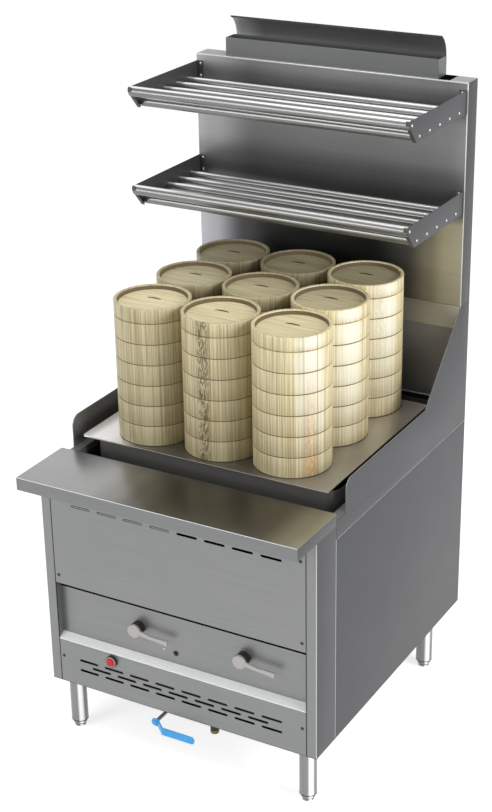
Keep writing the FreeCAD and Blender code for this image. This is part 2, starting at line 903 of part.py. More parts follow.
# Indicator lamp
lamp_lens = cylinder(
    "lamp_lens", "y", ("-lamp_left", control_face + " - 4", lamp_level), "lamp_radius", "4"
)
lamp_barrel = cylinder(
    "lamp_barrel", "y", ("-lamp_left", control_face + " - 2", lamp_level), "lamp_body",
    "lamp_depth + 2",
)
keep("indicator_lamp", fuse("indicator_lamp", lamp_lens, lamp_barrel))

# Push button in its bezel
button_x = "-button_left"
bezel_flange = cylinder(
    "bezel_flange", "y", (button_x, front + " - bezel_depth", button_level),
    "button_radius + bezel_wall + bezel_rim", "bezel_depth",
)
bezel_barrel = cylinder(
    "bezel_barrel", "y", (button_x, front + " - bezel_depth / 2", button_level),
    "button_radius + bezel_wall", "button_depth + bezel_depth",
)
bezel_bore = cylinder(
    "bezel_bore", "y", (button_x, front + " - 2 * bezel_depth", button_level),
    "button_radius + fit_clearance", "button_depth + 5 * bezel_depth",
)
keep("button_bezel", cut("button_bezel", fuse("bezel_ring", bezel_flange, bezel_barrel), bezel_bore))
button = cylinder(
    "push_button", "y", (button_x, front + " - button_proud", button_level),
    "button_radius", "button_proud + button_depth - bezel_depth",
)
keep("push_button", button)

# Drain: a pipe from the tank bottom, a valve below the body and a lever on a long stem
drain_x = "-drain_left"
drain_y = front + " + drain_back"
drain_pipe = cylinder(
    "drain_pipe", "z", (drain_x, drain_y, drain_level), "pipe_radius",
    tank_low + " - (" + drain_level + ")",
)
drain_block = box(
    "drain_block", (drain_x + " - drain_body / 2", drain_x + " + drain_body / 2"),
    (drain_y + " - drain_body / 2", drain_y + " + drain_body / 2"),
    (drain_level + " - drain_body / 2", drain_level + " + drain_body / 2"),
)
drain_spout = cylinder(
    "drain_spout", "z", (drain_x, drain_y, drain_level + " - drain_body / 2 - drain_outlet"),
    "inlet_radius", "drain_outlet + 1",
)
keep("drain_valve", fuse("drain_valve", drain_pipe, drain_block, drain_spout))

drain_arm = new_body("drain_arm")
bend_side = [
    ("-drain_hub", "-2 * drain_plate"),
    ("drain_hub - drain_plate * 1.4", "-2 * drain_plate"),
    ("drain_hub + drain_bend - drain_plate * 1.4", "-2 * drain_plate - drain_offset"),
    ("drain_length", "-2 * drain_plate - drain_offset"),
    ("drain_length", "-drain_plate - drain_offset"),
    ("drain_hub + drain_bend", "-drain_plate - drain_offset"),
    ("drain_hub", "-drain_plate"),
    ("-drain_hub", "-drain_plate"),
]
strap = pad(drain_arm, "drain_strap", "XY", bend_side, "-drain_blade / 2", "drain_blade / 2")
doc.recompute()
reach = strap.Shape.BoundBox
ends = []
for x_end, y_end in ((reach.XMin, reach.YMax), (reach.XMax, reach.YMin)):
    inset = SIZES["drain_plate"] / 2.0
    y_mid = y_end - inset if y_end == reach.YMax else y_end + inset
    for z_end in (reach.ZMin, reach.ZMax):
        ends.append(FreeCAD.Vector(x_end, y_mid, z_end))
round_edges(drain_arm, strap, "drain_ends", "drain_blade / 2 - 0.5", ends)
drain_boss = cylinder(
    "drain_boss", "y", ("0 * steel", "-2.5 * drain_plate", "0 * steel"), "drain_hub * 0.8",
    "2.5 * drain_plate",
)
drain_stem = cylinder(
    "drain_stem", "y", ("0 * steel", "-drain_plate", "0 * steel"), "rod_thin",
    "drain_plate + drain_back - drain_body / 2",
)
drain_lever = fuse("drain_lever", drain_arm, drain_boss, drain_stem)
place(drain_lever, (drain_x, front, drain_level))
keep("drain_lever", drain_lever)

# Water inlet: a fitting below the base pan and a pipe up to the front wall of the tank
inlet_y = front + " + inlet_back"
inlet_nipple = prism(
    "inlet_nipple", "z", 12, ("inlet_right", inlet_y, "leg_height - inlet_drop"),
    "inlet_radius", "inlet_drop",
)
inlet_riser = cylinder(
    "inlet_riser", "z", ("inlet_right", inlet_y, "leg_height - 1"), "inlet_pipe",
    "inlet_rise + inlet_pipe",
)
inlet_run = box(
    "inlet_run", ("inlet_right - inlet_pipe / 2", "inlet_right + inlet_pipe / 2"),
    (inlet_y, tank_y[0]), ("leg_height + inlet_rise - inlet_pipe", "leg_height + inlet_rise"),
)
keep("inlet_fitting", fuse("inlet_fitting", inlet_nipple, inlet_riser, inlet_run))

# Legs and their adjustable feet
leg_places = [
    (name, x, front + " + " + y)
    for name, x, y in (
        ("front_left", minus(half) + " + leg_inset", "front_leg"),
        ("front_right", half + " - leg_inset", "front_leg"),
        ("rear_left", minus(half) + " + leg_inset", "body_depth - rear_leg"),
        ("rear_right", half + " - leg_inset", "body_depth - rear_leg"),
    )
]
legs = []
for name, x, y in leg_places:
    tube = cylinder(
        name + "_tube", "z", (x, y, "foot_rise"), "leg_radius", "leg_height - foot_rise"
    )
    bore = prism(
        name + "_bore", "z", 6, (x, y, "foot_rise - 1"), "stem_circle + stem_clearance",
        "foot_stem + stem_clearance",
    )
    legs.append(cut(name + "_leg", tube, bore))

    pad_disc = prism(
        name + "_pad", "z", 12, ("0 * steel", "0 * steel", "0 * steel"), "foot_radius * 0.8",
        "foot_rise / 2",
    )
    collar = prism(
        name + "_collar", "z", 6, ("0 * steel", "0 * steel", "foot_rise / 2"), "foot_radius",
        "foot_rise / 2",
    )
    stud = prism(
        name + "_stud", "z", 6, ("0 * steel", "0 * steel", "foot_rise / 2"), "stem_circle",
        "foot_rise / 2 + foot_stem - stem_clearance",
    )
    foot = fuse(name + "_foot", pad_disc, collar, stud)
    place(foot, (x, y, "0 * steel"))
    keep(name + "_foot", foot)
keep("leg_tubes", group("leg_tubes", *legs))

# Tube shelves on sloping brackets
for shelf, low in (
    ("lower", riser_foot + " + shelf_start"),
    ("upper", riser_foot + " + shelf_start + shelf_step"),
):
    high = low + " + bracket_height"
    plates = []
    for side in ("left", "right"):
        gusset = [
            (riser_front, low),
            (riser_front, high),
            (riser_front + " - bracket_reach", high),
            (riser_front + " - bracket_foot", low),
        ]
        arm = new_body(shelf + "_" + side + "_bracket")
        outer = half + " - bracket_inset_" + side
        web = side_span(side, outer + " - steel", outer)
        pad(arm, shelf + "_" + side + "_web", "YZ", gusset, web[0], web[1])
        tab = [
            (riser_front, low),
            (riser_front, high),
            (riser_front + " - steel", high),
            (riser_front + " - steel", low),
        ]
        tab_span = side_span(side, outer + " - bracket_tab", outer + " - steel")
        pad(arm, shelf + "_" + side + "_tab", "YZ", tab, tab_span[0], tab_span[1])
        plates.append(arm)
    keep(shelf + "_shelf_brackets", group(shelf + "_shelf_brackets", *plates))

    rod_left = minus(half) + " + bracket_inset_left + steel"
    rod_length = "body_width - bracket_inset_left - bracket_inset_right - 2 * steel"
    last_rod = riser_front + " - rod_back"
    rods = [
        cylinder(
            "%s_rod_%d" % (shelf, number), "x",
            (rod_left, last_rod + " - %d * rod_pitch" % number, low + " + rod_lift"),
            "rod_radius", rod_length,
        )
        for number in range(RODS)
    ]
    front_rod_y = last_rod + " - %d * rod_pitch - front_rod_step" % (RODS - 1)
    rods.append(
        cylinder(
            shelf + "_front_rod", "x", (rod_left, front_rod_y, high + " - front_rod_drop"),
            "rod_radius", rod_length,
        )
    )
    keep(shelf + "_shelf_tubes", group(shelf + "_shelf_tubes", *rods))

# Stacks of round steamer baskets, open at the top, and their lids
ROWS = ("front", "middle", "rear")
SIDES = ("left", "centre", "right")
for row, row_name in enumerate(ROWS):
    for column, side_name in enumerate(SIDES):
        stack_x = "-stack_shift + %d * (2 * basket_radius + stack_gap_x)" % (column - 1)
        stack_y = front + " + stack_middle + %d * (2 * basket_radius + stack_gap_y)" % (row - 1)
        name = row_name + "_" + side_name
        column_bar = cylinder(
            name + "_column", "z", ("0 * steel", "0 * steel", "0 * steel"), "basket_radius",
            "%d * tier_height" % TIERS,
        )
        hollow = prism(
            name + "_hollow", "z", 16,
            ("0 * steel", "0 * steel", "%d * tier_height - basket_depth" % TIERS),
            "basket_radius - basket_wall", "basket_depth + 1",
        )
        stack = cut(name + "_stack", column_bar, hollow)
        place(stack, (stack_x, stack_y, plate_top))
        keep(name + "_stack", stack)

        disc = cylinder(
            name + "_disc", "z", ("0 * steel", "0 * steel", "0 * steel"), "basket_radius",
            "lid_height",
        )
        dish = prism(
            name + "_dish", "z", 16, ("0 * steel", "0 * steel", "lid_height - lid_recess"),
            "basket_radius - lid_rim", "lid_recess + 1",
        )
        lid = cut(name + "_lid", disc, dish)
        place(lid, (stack_x, stack_y, stack_top))
        keep(name + "_lid", lid)

doc.recompute()

# Every object and every sub-part is checked before anything is written
for thing in doc.Objects:
    for word in ("Invalid", "Error"):
        if word in thing.State:
            raise RuntimeError("%s: %s" % (thing.Name, thing.State))
for label, thing in PARTS.items():
    if thing.Shape.isNull():
        raise RuntimeError("empty shape: " + label)
    if not thing.Shape.isValid():
        raise RuntimeError("shape not valid: " + label)
    if not thing.Shape.Solids:
        raise RuntimeError("no solid: " + label)

os.makedirs("parts", exist_ok=True)
for label, thing in PARTS.items():
    thing.Shape.exportStep("parts/%s.step" % label)

whole = Part.makeCompound([thing.Shape for thing in PARTS.values()])
limits = whole.BoundBox
print("parts", len(PARTS))
print("size", round(limits.XLength, 2), round(limits.YLength, 2), round(limits.ZLength, 2))
print("low", round(limits.XMin, 2), round(limits.YMin, 2), round(limits.ZMin, 2))
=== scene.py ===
"""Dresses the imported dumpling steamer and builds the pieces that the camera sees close.

Lengths in the classes are millimetres. X runs to the right, Z up from the floor, and Y back
from the front face of the cabinet, until place() turns a point into metres in the part's frame.
"""

import logging
import math
from dataclasses import dataclass
from enum import Enum

import bmesh
import bpy
from mathutils import Matrix, Vector


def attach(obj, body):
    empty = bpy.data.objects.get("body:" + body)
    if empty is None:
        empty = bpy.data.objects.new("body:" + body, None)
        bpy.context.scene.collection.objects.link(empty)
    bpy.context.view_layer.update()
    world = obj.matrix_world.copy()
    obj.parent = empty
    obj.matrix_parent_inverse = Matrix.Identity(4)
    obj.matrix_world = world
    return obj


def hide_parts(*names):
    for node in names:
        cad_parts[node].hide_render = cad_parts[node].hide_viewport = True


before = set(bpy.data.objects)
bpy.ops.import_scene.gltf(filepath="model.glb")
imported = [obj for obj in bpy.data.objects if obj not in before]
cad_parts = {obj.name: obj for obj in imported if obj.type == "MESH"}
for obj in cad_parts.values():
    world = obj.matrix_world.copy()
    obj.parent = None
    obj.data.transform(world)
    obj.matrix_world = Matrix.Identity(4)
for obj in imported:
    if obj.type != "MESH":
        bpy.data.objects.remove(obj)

Socket = bpy.types.NodeSocket
Material = bpy.types.Material
Solid = bmesh.types.BMesh
Pair = tuple[float, float]
Triple = tuple[float, float, float]

LOG = logging.getLogger("dumpling_steamer")
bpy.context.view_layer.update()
CABINET = "cabinet"
FRONT_FACE = -0.377
MM = 0.001
SHEET = 1.5
SHEEN_RANGE = 12.0
WHITE = (1.0, 1.0, 1.0)
SIDES = (("left", -1.0), ("right", 1.0))


class Axis(Enum):
    """A direction along which an outline is drawn out or a bar runs."""

    X = 0
    Y = 1
    Z = 2


class Brush(Enum):
    """The way the grain of a brushed sheet runs, as repeats per metre."""

    ACROSS = (3.0, 260.0, 260.0)
    BACK = (260.0, 3.0, 260.0)
    UP = (260.0, 260.0, 3.0)


def place(x: float, y: float, z: float) -> Vector:
    """Turn cabinet millimetres into a point in metres in the part's frame."""
    return Vector((x * MM, y * MM + FRONT_FACE, z * MM))


def span(first: float, last: float, sign: float = 1.0) -> Pair:
    """Give two distances from the middle in rising order, mirrored when the sign is -1."""
    low, high = sorted((sign * first, sign * last))
    return low, high


def tinted(colour: Triple, factor: float) -> Triple:
    """Scale the three parts of a colour."""
    return tuple(c * factor for c in colour)


# Finishes


class NodeGraph:
    """A node tree under construction."""

    def __init__(self, tree: bpy.types.NodeTree) -> None:
        """Take the tree that the nodes go into."""
        self.tree = tree

    def add(
        self, kind: str, values: dict[str | int, object] | None = None, **settings: object
    ) -> bpy.types.Node:
        """Add a node.

        Args:
            kind: the node's type.
            values: what its inputs hold, by name or number.
            settings: its own properties.

        Returns:
            The node.
        """
        node = self.tree.nodes.new(kind)
        for key, value in settings.items():
            setattr(node, key, value)
        for key, value in (values or {}).items():
            node.inputs[key].default_value = value
        return node

    def join(self, source: Socket, target: Socket) -> None:
        """Link two sockets."""
        self.tree.links.new(source, target)

    def spread(
        self, value: Socket, low: float, high: float, to_low: float, to_high: float
    ) -> Socket:
        """Map a value from one range to another, clamped.

        Args:
            value: the value.
            low: where the first range starts.
            high: where it ends.
            to_low: what its start becomes.
            to_high: what its end becomes.

        Returns:
            The mapped value.
        """
        ends = {"From Min": low, "From Max": high, "To Min": to_low, "To Max": to_high}
        node = self.add("ShaderNodeMapRange", ends, clamp=True)
        self.join(value, node.inputs["Value"])
        return node.outputs["Result"]

    def math(self, operation: str, first: Socket, second: Socket | float) -> Socket:
        """Combine two values.

        Args:
            operation: the name of the sum, such as MULTIPLY.
            first: a value.
            second: a value or a constant.

        Returns:
            The result.
        """
        node = self.add("ShaderNodeMath", operation=operation)
        self.join(first, node.inputs[0])
        if isinstance(second, Socket):
            self.join(second, node.inputs[1])
        else:
            node.inputs[1].default_value = second
        return node.outputs[0]

    def seen_ray(self) -> Socket:
        """Give 1 on the rays of the camera, of mirrors and of glass, and 0 on all others.

        Returns:
            The value.
        """
        path = self.add("ShaderNodeLightPath")
        seen = self.math("MAXIMUM", path.outputs["Is Camera Ray"], path.outputs["Is Glossy Ray"])
        return self.math("MAXIMUM", seen, path.outputs["Is Transmission Ray"])


class Shader(NodeGraph):
    """A node material under construction."""

    def __init__(self, name: str) -> None:
        """Start an empty node material with a surface shader.

        Args:
            name: the material's name.
        """
        self.material = bpy.data.materials.new(name)
        self.material.use_nodes = True
        super().__init__(self.material.node_tree)
        self.tree.nodes.clear()
        output = self.add("ShaderNodeOutputMaterial")
        self.surface = self.add("ShaderNodeBsdfPrincipled")
        self.join(self.surface.outputs["BSDF"], output.inputs["Surface"])

    def set(self, **values: float | tuple[float, ...]) -> None:
        """Set plain inputs of the surface; an underscore in a name stands for a space."""
        for key, value in values.items():
            self.surface.inputs[key.replace("_", " ")].default_value = value

    def coordinates(self, scale: Triple, shift: Vector | None = None) -> Socket:
        """Give scaled Object coordinates.

        Args:
            scale: repeats per metre along each axis.
            shift: the point that becomes the middle of the pattern, in metres.

        Returns:
            The coordinates.
        """
        source = self.add("ShaderNodeTexCoord")
        centre = shift or Vector((0.0, 0.0, 0.0))
        moved = self.add("ShaderNodeVectorMath", {1: centre}, operation="SUBTRACT")
        mapping = self.add("ShaderNodeMapping", {"Scale": scale})
        self.join(source.outputs["Object"], moved.inputs[0])
        self.join(moved.outputs[0], mapping.inputs["Vector"])
        return mapping.outputs["Vector"]

    def axes(self) -> bpy.types.NodeOutputs:
        """Give the X, Y and Z of the Object coordinates, in metres.

        Returns:
            The three values.
        """
        parts = self.add("ShaderNodeSeparateXYZ")
        self.join(self.add("ShaderNodeTexCoord").outputs["Object"], parts.inputs[0])
        return parts.outputs

    def noise(
        self, scale: Triple, detail: float, distortion: float = 0.0, shift: Vector | None = None
    ) -> Socket:
        """Add a noise pattern.

        Args:
            scale: repeats per metre along each axis.
            detail: how many finer layers it has.
            distortion: how far it is stirred.
            shift: the point that becomes the middle of the pattern, in metres.

        Returns:
            The pattern's value.
        """
        look = {"Scale": 1.0, "Detail": detail, "Distortion": distortion}
        node = self.add("ShaderNodeTexNoise", look)
        self.join(self.coordinates(scale, shift), node.inputs["Vector"])
        return node.outputs["Fac"]

    def blend(self, factor: Socket, first: Triple | Socket, second: Triple | Socket) -> Socket:
        """Mix two colours, each a colour or a socket.

        Args:
            factor: the share of the second colour.
            first: the colour at 0.
            second: the colour at 1.

        Returns:
            The mixed colour.
        """
        node = self.add("ShaderNodeMix", data_type="RGBA")
        self.join(factor, node.inputs["Factor"])
        for key, colour in (("A", first), ("B", second)):
            socket = [s for s in node.inputs if s.name == key and s.type == "RGBA"][0]
            if isinstance(colour, Socket):
                self.join(colour, socket)
            else:
                socket.default_value = (*colour, 1.0)
        return [s for s in node.outputs if s.type == "RGBA"][0]

    def relief(self, height: Socket, strength: float, distance: float) -> None:
        """Drive the surface normal by a height pattern.

        Args:
            height: the pattern.
            strength: how much of it shows.
            distance: its greatest height in metres.
        """
        node = self.add("ShaderNodeBump", {"Strength": strength, "Distance": distance})
        self.join(height, node.inputs["Height"])
        self.join(node.outputs["Normal"], self.surface.inputs["Normal"])


@dataclass(frozen=True)
class Sheen:
    """A painted sheen and painted shade: a slow change of tone along one axis of a sheet, in
    cabinet millimetres.

    A stop is a place and a factor, or a place and a factor for red, green and blue. A gate
    keeps the change below a height.
    """

    axis: Axis
    stops: tuple[tuple[float, ...], ...]
    below: float | None = None
    gate: float = 15.0

    def apply(self, shader: Shader, colour: Socket) -> Socket:
        """Multiply a colour by the painted sheen and shade.

        Args:
            shader: the material under construction.
            colour: the colour so far.

        Returns:
            The changed colour.
        """
        shift = FRONT_FACE / MM if self.axis is Axis.Y else 0.0
        first, last = self.stops[0][0], self.stops[-1][0]
        parts = shader.axes()
        along = shader.spread(
            parts[self.axis.value], (first + shift) * MM, (last + shift) * MM, 0.0, 1.0
        )
        ramp = shader.add("ShaderNodeValToRGB")
        ramp.color_ramp.interpolation = "EASE"
        points = ramp.color_ramp.elements
        while len(points) < len(self.stops):
            points.new(0.5)
        for point, (spot, *factors) in zip(points, self.stops):
            tone = factors if len(factors) == 3 else factors * 3
            point.position = (spot - first) / (last - first)
            point.color = (*(c / SHEEN_RANGE for c in tone), 1.0)
        shader.join(along, ramp.inputs["Fac"])
        factor = shader.add("ShaderNodeVectorMath", {"Scale": SHEEN_RANGE}, operation="SCALE")
        shader.join(ramp.outputs["Color"], factor.inputs[0])
        change = factor.outputs[0]
        if self.below is not None:
            low, high = (self.below - self.gate) * MM, (self.below + self.gate) * MM
            change = shader.blend(shader.spread(parts[2], low, high, 0.0, 1.0), change, WHITE)
        product = shader.add("ShaderNodeVectorMath", operation="MULTIPLY")
        shader.join(colour, product.inputs[0])
        shader.join(change, product.inputs[1])
        return product.outputs[0]


@dataclass(frozen=True)
class Glint:
    """A painted highlight: a band of another tone where a surface faces one way; its share also
    places painted shade.
    """

    facing: Triple
    start: float
    full: float
    tone: float = 0.0

    def share(self, shader: Shader) -> Socket:
        """Say how far the surface faces the glint, from 0 to 1.

        Args:
            shader: the material under construction.

        Returns:
            The share.
        """
        source = shader.add("ShaderNodeNewGeometry")
        facing = Vector(self.facing).normalized()
        match = shader.add("ShaderNodeVectorMath", {1: facing}, operation="DOT_PRODUCT")
        shader.join(source.outputs["Normal"], match.inputs[0])
        return shader.spread(match.outputs["Value"], self.start, self.full, 0.0, 1.0)

    def apply(self, shader: Shader, colour: Socket) -> Socket:
        """Paint the highlight: bring a colour to the glint's tone where the surface faces it."""
        return shader.blend(self.share(shader), colour, (self.tone,) * 3)


@dataclass(frozen=True)
class SteelFinish:
    """Stainless sheet with a brushed grain, handling marks, and painted sheen, reflection, glint
    and shade laid over its tone as slow shifts.
    """

    name: str
    tone: Triple
    brush: Brush
    roughness: float
    metallic: float
    contrast: float = 0.06
    relief: float = 0.03
    # Painted sheens, reflections, glints and shade laid over the grain.
    painted_light: tuple[Sheen | Glint, ...] = ()
    cool: Triple = (0.93, 0.94, 0.96)

    def build(self) -> Material:
        """Make the material.

        Returns:
            The material.
        """
        shader = Shader(self.name)
        fine = shader.noise(self.brush.value, 5.0)
        broad = shader.noise((3.0, 3.0, 3.0), 2.0)
        marks = shader.noise((7.0, 7.0, 7.0), 2.0)
        dark, light = tinted(self.tone, 1.0 - self.contrast), tinted(self.tone, 1.0 + self.contrast)
        grain = shader.blend(shader.spread(fine, 0.3, 0.7, 0.0, 1.0), dark, light)
        cool = tuple(c * f for c, f in zip(self.tone, self.cool))
        colour = shader.blend(shader.spread(broad, 0.35, 0.75, 0.0, 0.5), grain, cool)
        # Paint the sheens, reflections, glints and shade.
        for change in self.painted_light:
            colour = change.apply(shader, colour)
        shader.join(colour, shader.surface.inputs["Base Color"])
        rough = shader.spread(marks, 0.3, 0.75, self.roughness - 0.015, self.roughness + 0.02)
        shader.join(rough, shader.surface.inputs["Roughness"])
        shader.set(Metallic=self.metallic)
        shader.relief(fine, self.relief, 0.0004)
        return shader.material


@dataclass(frozen=True)
class Streak:
    """The brown figure on one side of a stack, which fades out at a height if it has one."""

    angle: float = 0.0
    amount: float = 0.0
    tint: Triple = (0.46, 0.29, 0.12)
    top: float = 0.0


@dataclass(frozen=True)
class WoodFinish:
    """Pale wood of one stack: upright grain, darker lower tiers, painted light and shade on its
    sides and sometimes a brown figure.
    """

    name: str
    centre: Pair
    seed: float
    streak: Streak = Streak()
    flat: bool = False
    # Painted light: how lit the stack or lid is, a factor on the wood's colours.
    shade: float = 1.0
    low: float = 0.0
    # When set, a painted highlight on the lamp side; when not, painted shade on the right side.
    sunlit: bool = False
    pale: Triple = (0.92, 0.82, 0.52)
    tan: Triple = (0.50, 0.40, 0.21)
    deep: Triple = (0.30, 0.22, 0.11)
    cast: Triple = (0.47, 0.46, 0.29)
    # The colour of the painted highlight on a sunlit stack.
    sun: Triple = (1.0, 0.98, 0.84)

    def build(self) -> Material:
        """Make the material.

        Returns:
            The material.
        """
        shader = Shader(self.name)
        middle = Vector((*self.centre, self.seed))
        if self.flat:
            fine_scale, fine_share = (9.0, 260.0, 260.0), 0.45
            wide_scale, wide_share = (5.0, 60.0, 60.0), 0.4
        else:
            fine_scale, fine_share = (430.0, 430.0, 3.0), 0.9
            wide_scale, wide_share = (75.0, 75.0, 2.2), 0.55
        fine = shader.noise(fine_scale, 4.0, 0.3, middle)
        wide = shader.noise(wide_scale, 3.0, 0.9, middle)
        pores = shader.noise((900.0, 900.0, 60.0), 2.0, 0.0, middle)
        pale, tan, deep = (tinted(c, self.shade) for c in (self.pale, self.tan, self.deep))
        body = shader.blend(shader.spread(fine, 0.40, 0.56, fine_share, 0.0), pale, tan)
        body = shader.blend(shader.spread(wide, 0.56, 0.72, 0.0, wide_share), body, tan)
        body = shader.blend(shader.spread(pores, 0.62, 0.75, 0.0, 0.35), body, deep)
        # Darker lower tiers, and painted light and shade on the walls.
        if not self.flat:
            body = self.age(shader, body, tan)
        if self.streak.amount > 0.0:
            body = self.figure(shader, body, middle, fine)
        shader.join(body, shader.surface.inputs["Base Color"])
        shader.set(Roughness=0.42, Specular_IOR_Level=0.35)
        shader.relief(fine, 0.25, 0.0004)
        return shader.material

    def age(self, shader: Shader, body: Socket, tan: Triple) -> Socket:
        """Darken the lower tiers; on a sunlit stack paint a highlight on the side that faces the
        lamp at the right, on the others paint shade on their right side.

        Args:
            shader: the material under construction.
            body: the colour so far.
            tan: the wood's darker tone.

        Returns:
            The colour with its darker foot and painted light and shade.
        """
        height = shader.axes()[2]
        body = shader.blend(shader.spread(height, 0.79, 1.10, 0.34, 0.0), body, tinted(tan, 0.5))
        # Painted highlight on the side that faces the lamp.
        if self.sunlit:
            facing = Glint((0.83, -0.56, 0.0), 0.88, 0.995).share(shader)
            upper = shader.spread(height, 0.80, 1.06, 0.10, 0.85)
            return shader.blend(shader.math("MULTIPLY", facing, upper), body, self.sun)
        # Painted shade on the right side, where the neighbouring stacks shade it.
        facing = Glint((1.0, 0.1, 0.0), 0.15, 0.9).share(shader)
        return shader.blend(shader.math("MULTIPLY", facing, 0.42), body, tinted(tan, 0.45))

    def figure(self, shader: Shader, body: Socket, middle: Vector, fine: Socket) -> Socket:
        """Draw the brown upright figure and the dark lines beside it.

        Args:
            shader: the material under construction.
            body: the colour so far.
            middle: the stack's middle, in metres.
            fine: the fine grain.

        Returns:
            The colour with its figure.
        """
        turn = shader.add("ShaderNodeTexGradient", gradient_type="RADIAL")
        amount = self.streak.amount
        angle = (0.0, 0.0, -math.radians(self.streak.angle))
        spin = shader.add("ShaderNodeMapping", {"Rotation": angle})
        shader.join(shader.coordinates(WHITE, middle), spin.inputs["Vector"])
        shader.join(spin.outputs["Vector"], turn.inputs["Vector"])
        side = shader.math("ABSOLUTE", shader.math("SUBTRACT", turn.outputs["Fac"], 0.5), 0.0)
        band = shader.spread(side, 0.014, 0.034, 1.0, 0.0)
        knots = shader.noise((130.0, 130.0, 34.0), 4.0, 2.2, middle)
        fades = self.streak.top > self.low
        if fades:
            patch = shader.spread(knots, 0.38, 0.60, 0.25, 1.0)
        else:
            patch = shader.spread(knots, 0.47, 0.53, 0.0, 1.0)
            body = shader.blend(shader.math("MULTIPLY", band, amount * 0.6), body, self.cast)
        spot = shader.math("MULTIPLY", shader.math("MULTIPLY", band, patch), amount)
        if fades:
            top = self.streak.top * MM
            reach = shader.spread(shader.axes()[2], self.low * MM, top, 1.0, 0.0)
            spot = shader.math("MULTIPLY", spot, reach)
        body = shader.blend(spot, body, self.streak.tint)
        border = shader.math("ABSOLUTE", shader.math("SUBTRACT", side, 0.030), 0.0)
        lines = shader.spread(border, 0.001, 0.005, amount * 0.8, 0.0)
        broken = shader.math("MULTIPLY", lines, shader.spread(fine, 0.35, 0.6, 1.0, 0.4))
        return shader.blend(broken, body, tinted(self.deep, self.shade))


@dataclass(frozen=True)
class CoatFinish:
    """A moulded, cast or enamelled surface with a slight mottle."""

    name: str
    colour: Triple
    roughness: float
    metallic: float = 0.0
    mottle: float = 0.12
    coat: float = 0.0
    specular: float = 0.5

    def build(self) -> Material:
        """Make the material.

        Returns:
            The material.
        """
        shader = Shader(self.name)
        spots = shader.noise((120.0, 120.0, 120.0), 4.0, 0.4)
        darker = tinted(self.colour, 1.0 - self.mottle)
        lighter = tuple(min(1.0, c) for c in tinted(self.colour, 1.0 + self.mottle))
        mottled = shader.blend(shader.spread(spots, 0.3, 0.7, 0.0, 1.0), darker, lighter)
        shader.join(mottled, shader.surface.inputs["Base Color"])
        rough = shader.spread(spots, 0.3, 0.7, self.roughness * 0.85, self.roughness * 1.2)
        shader.join(rough, shader.surface.inputs["Roughness"])
        shader.set(
            Metallic=self.metallic, Coat_Weight=self.coat, Specular_IOR_Level=self.specular
        )
        shader.relief(spots, 0.08, 0.0003)
        return shader.material


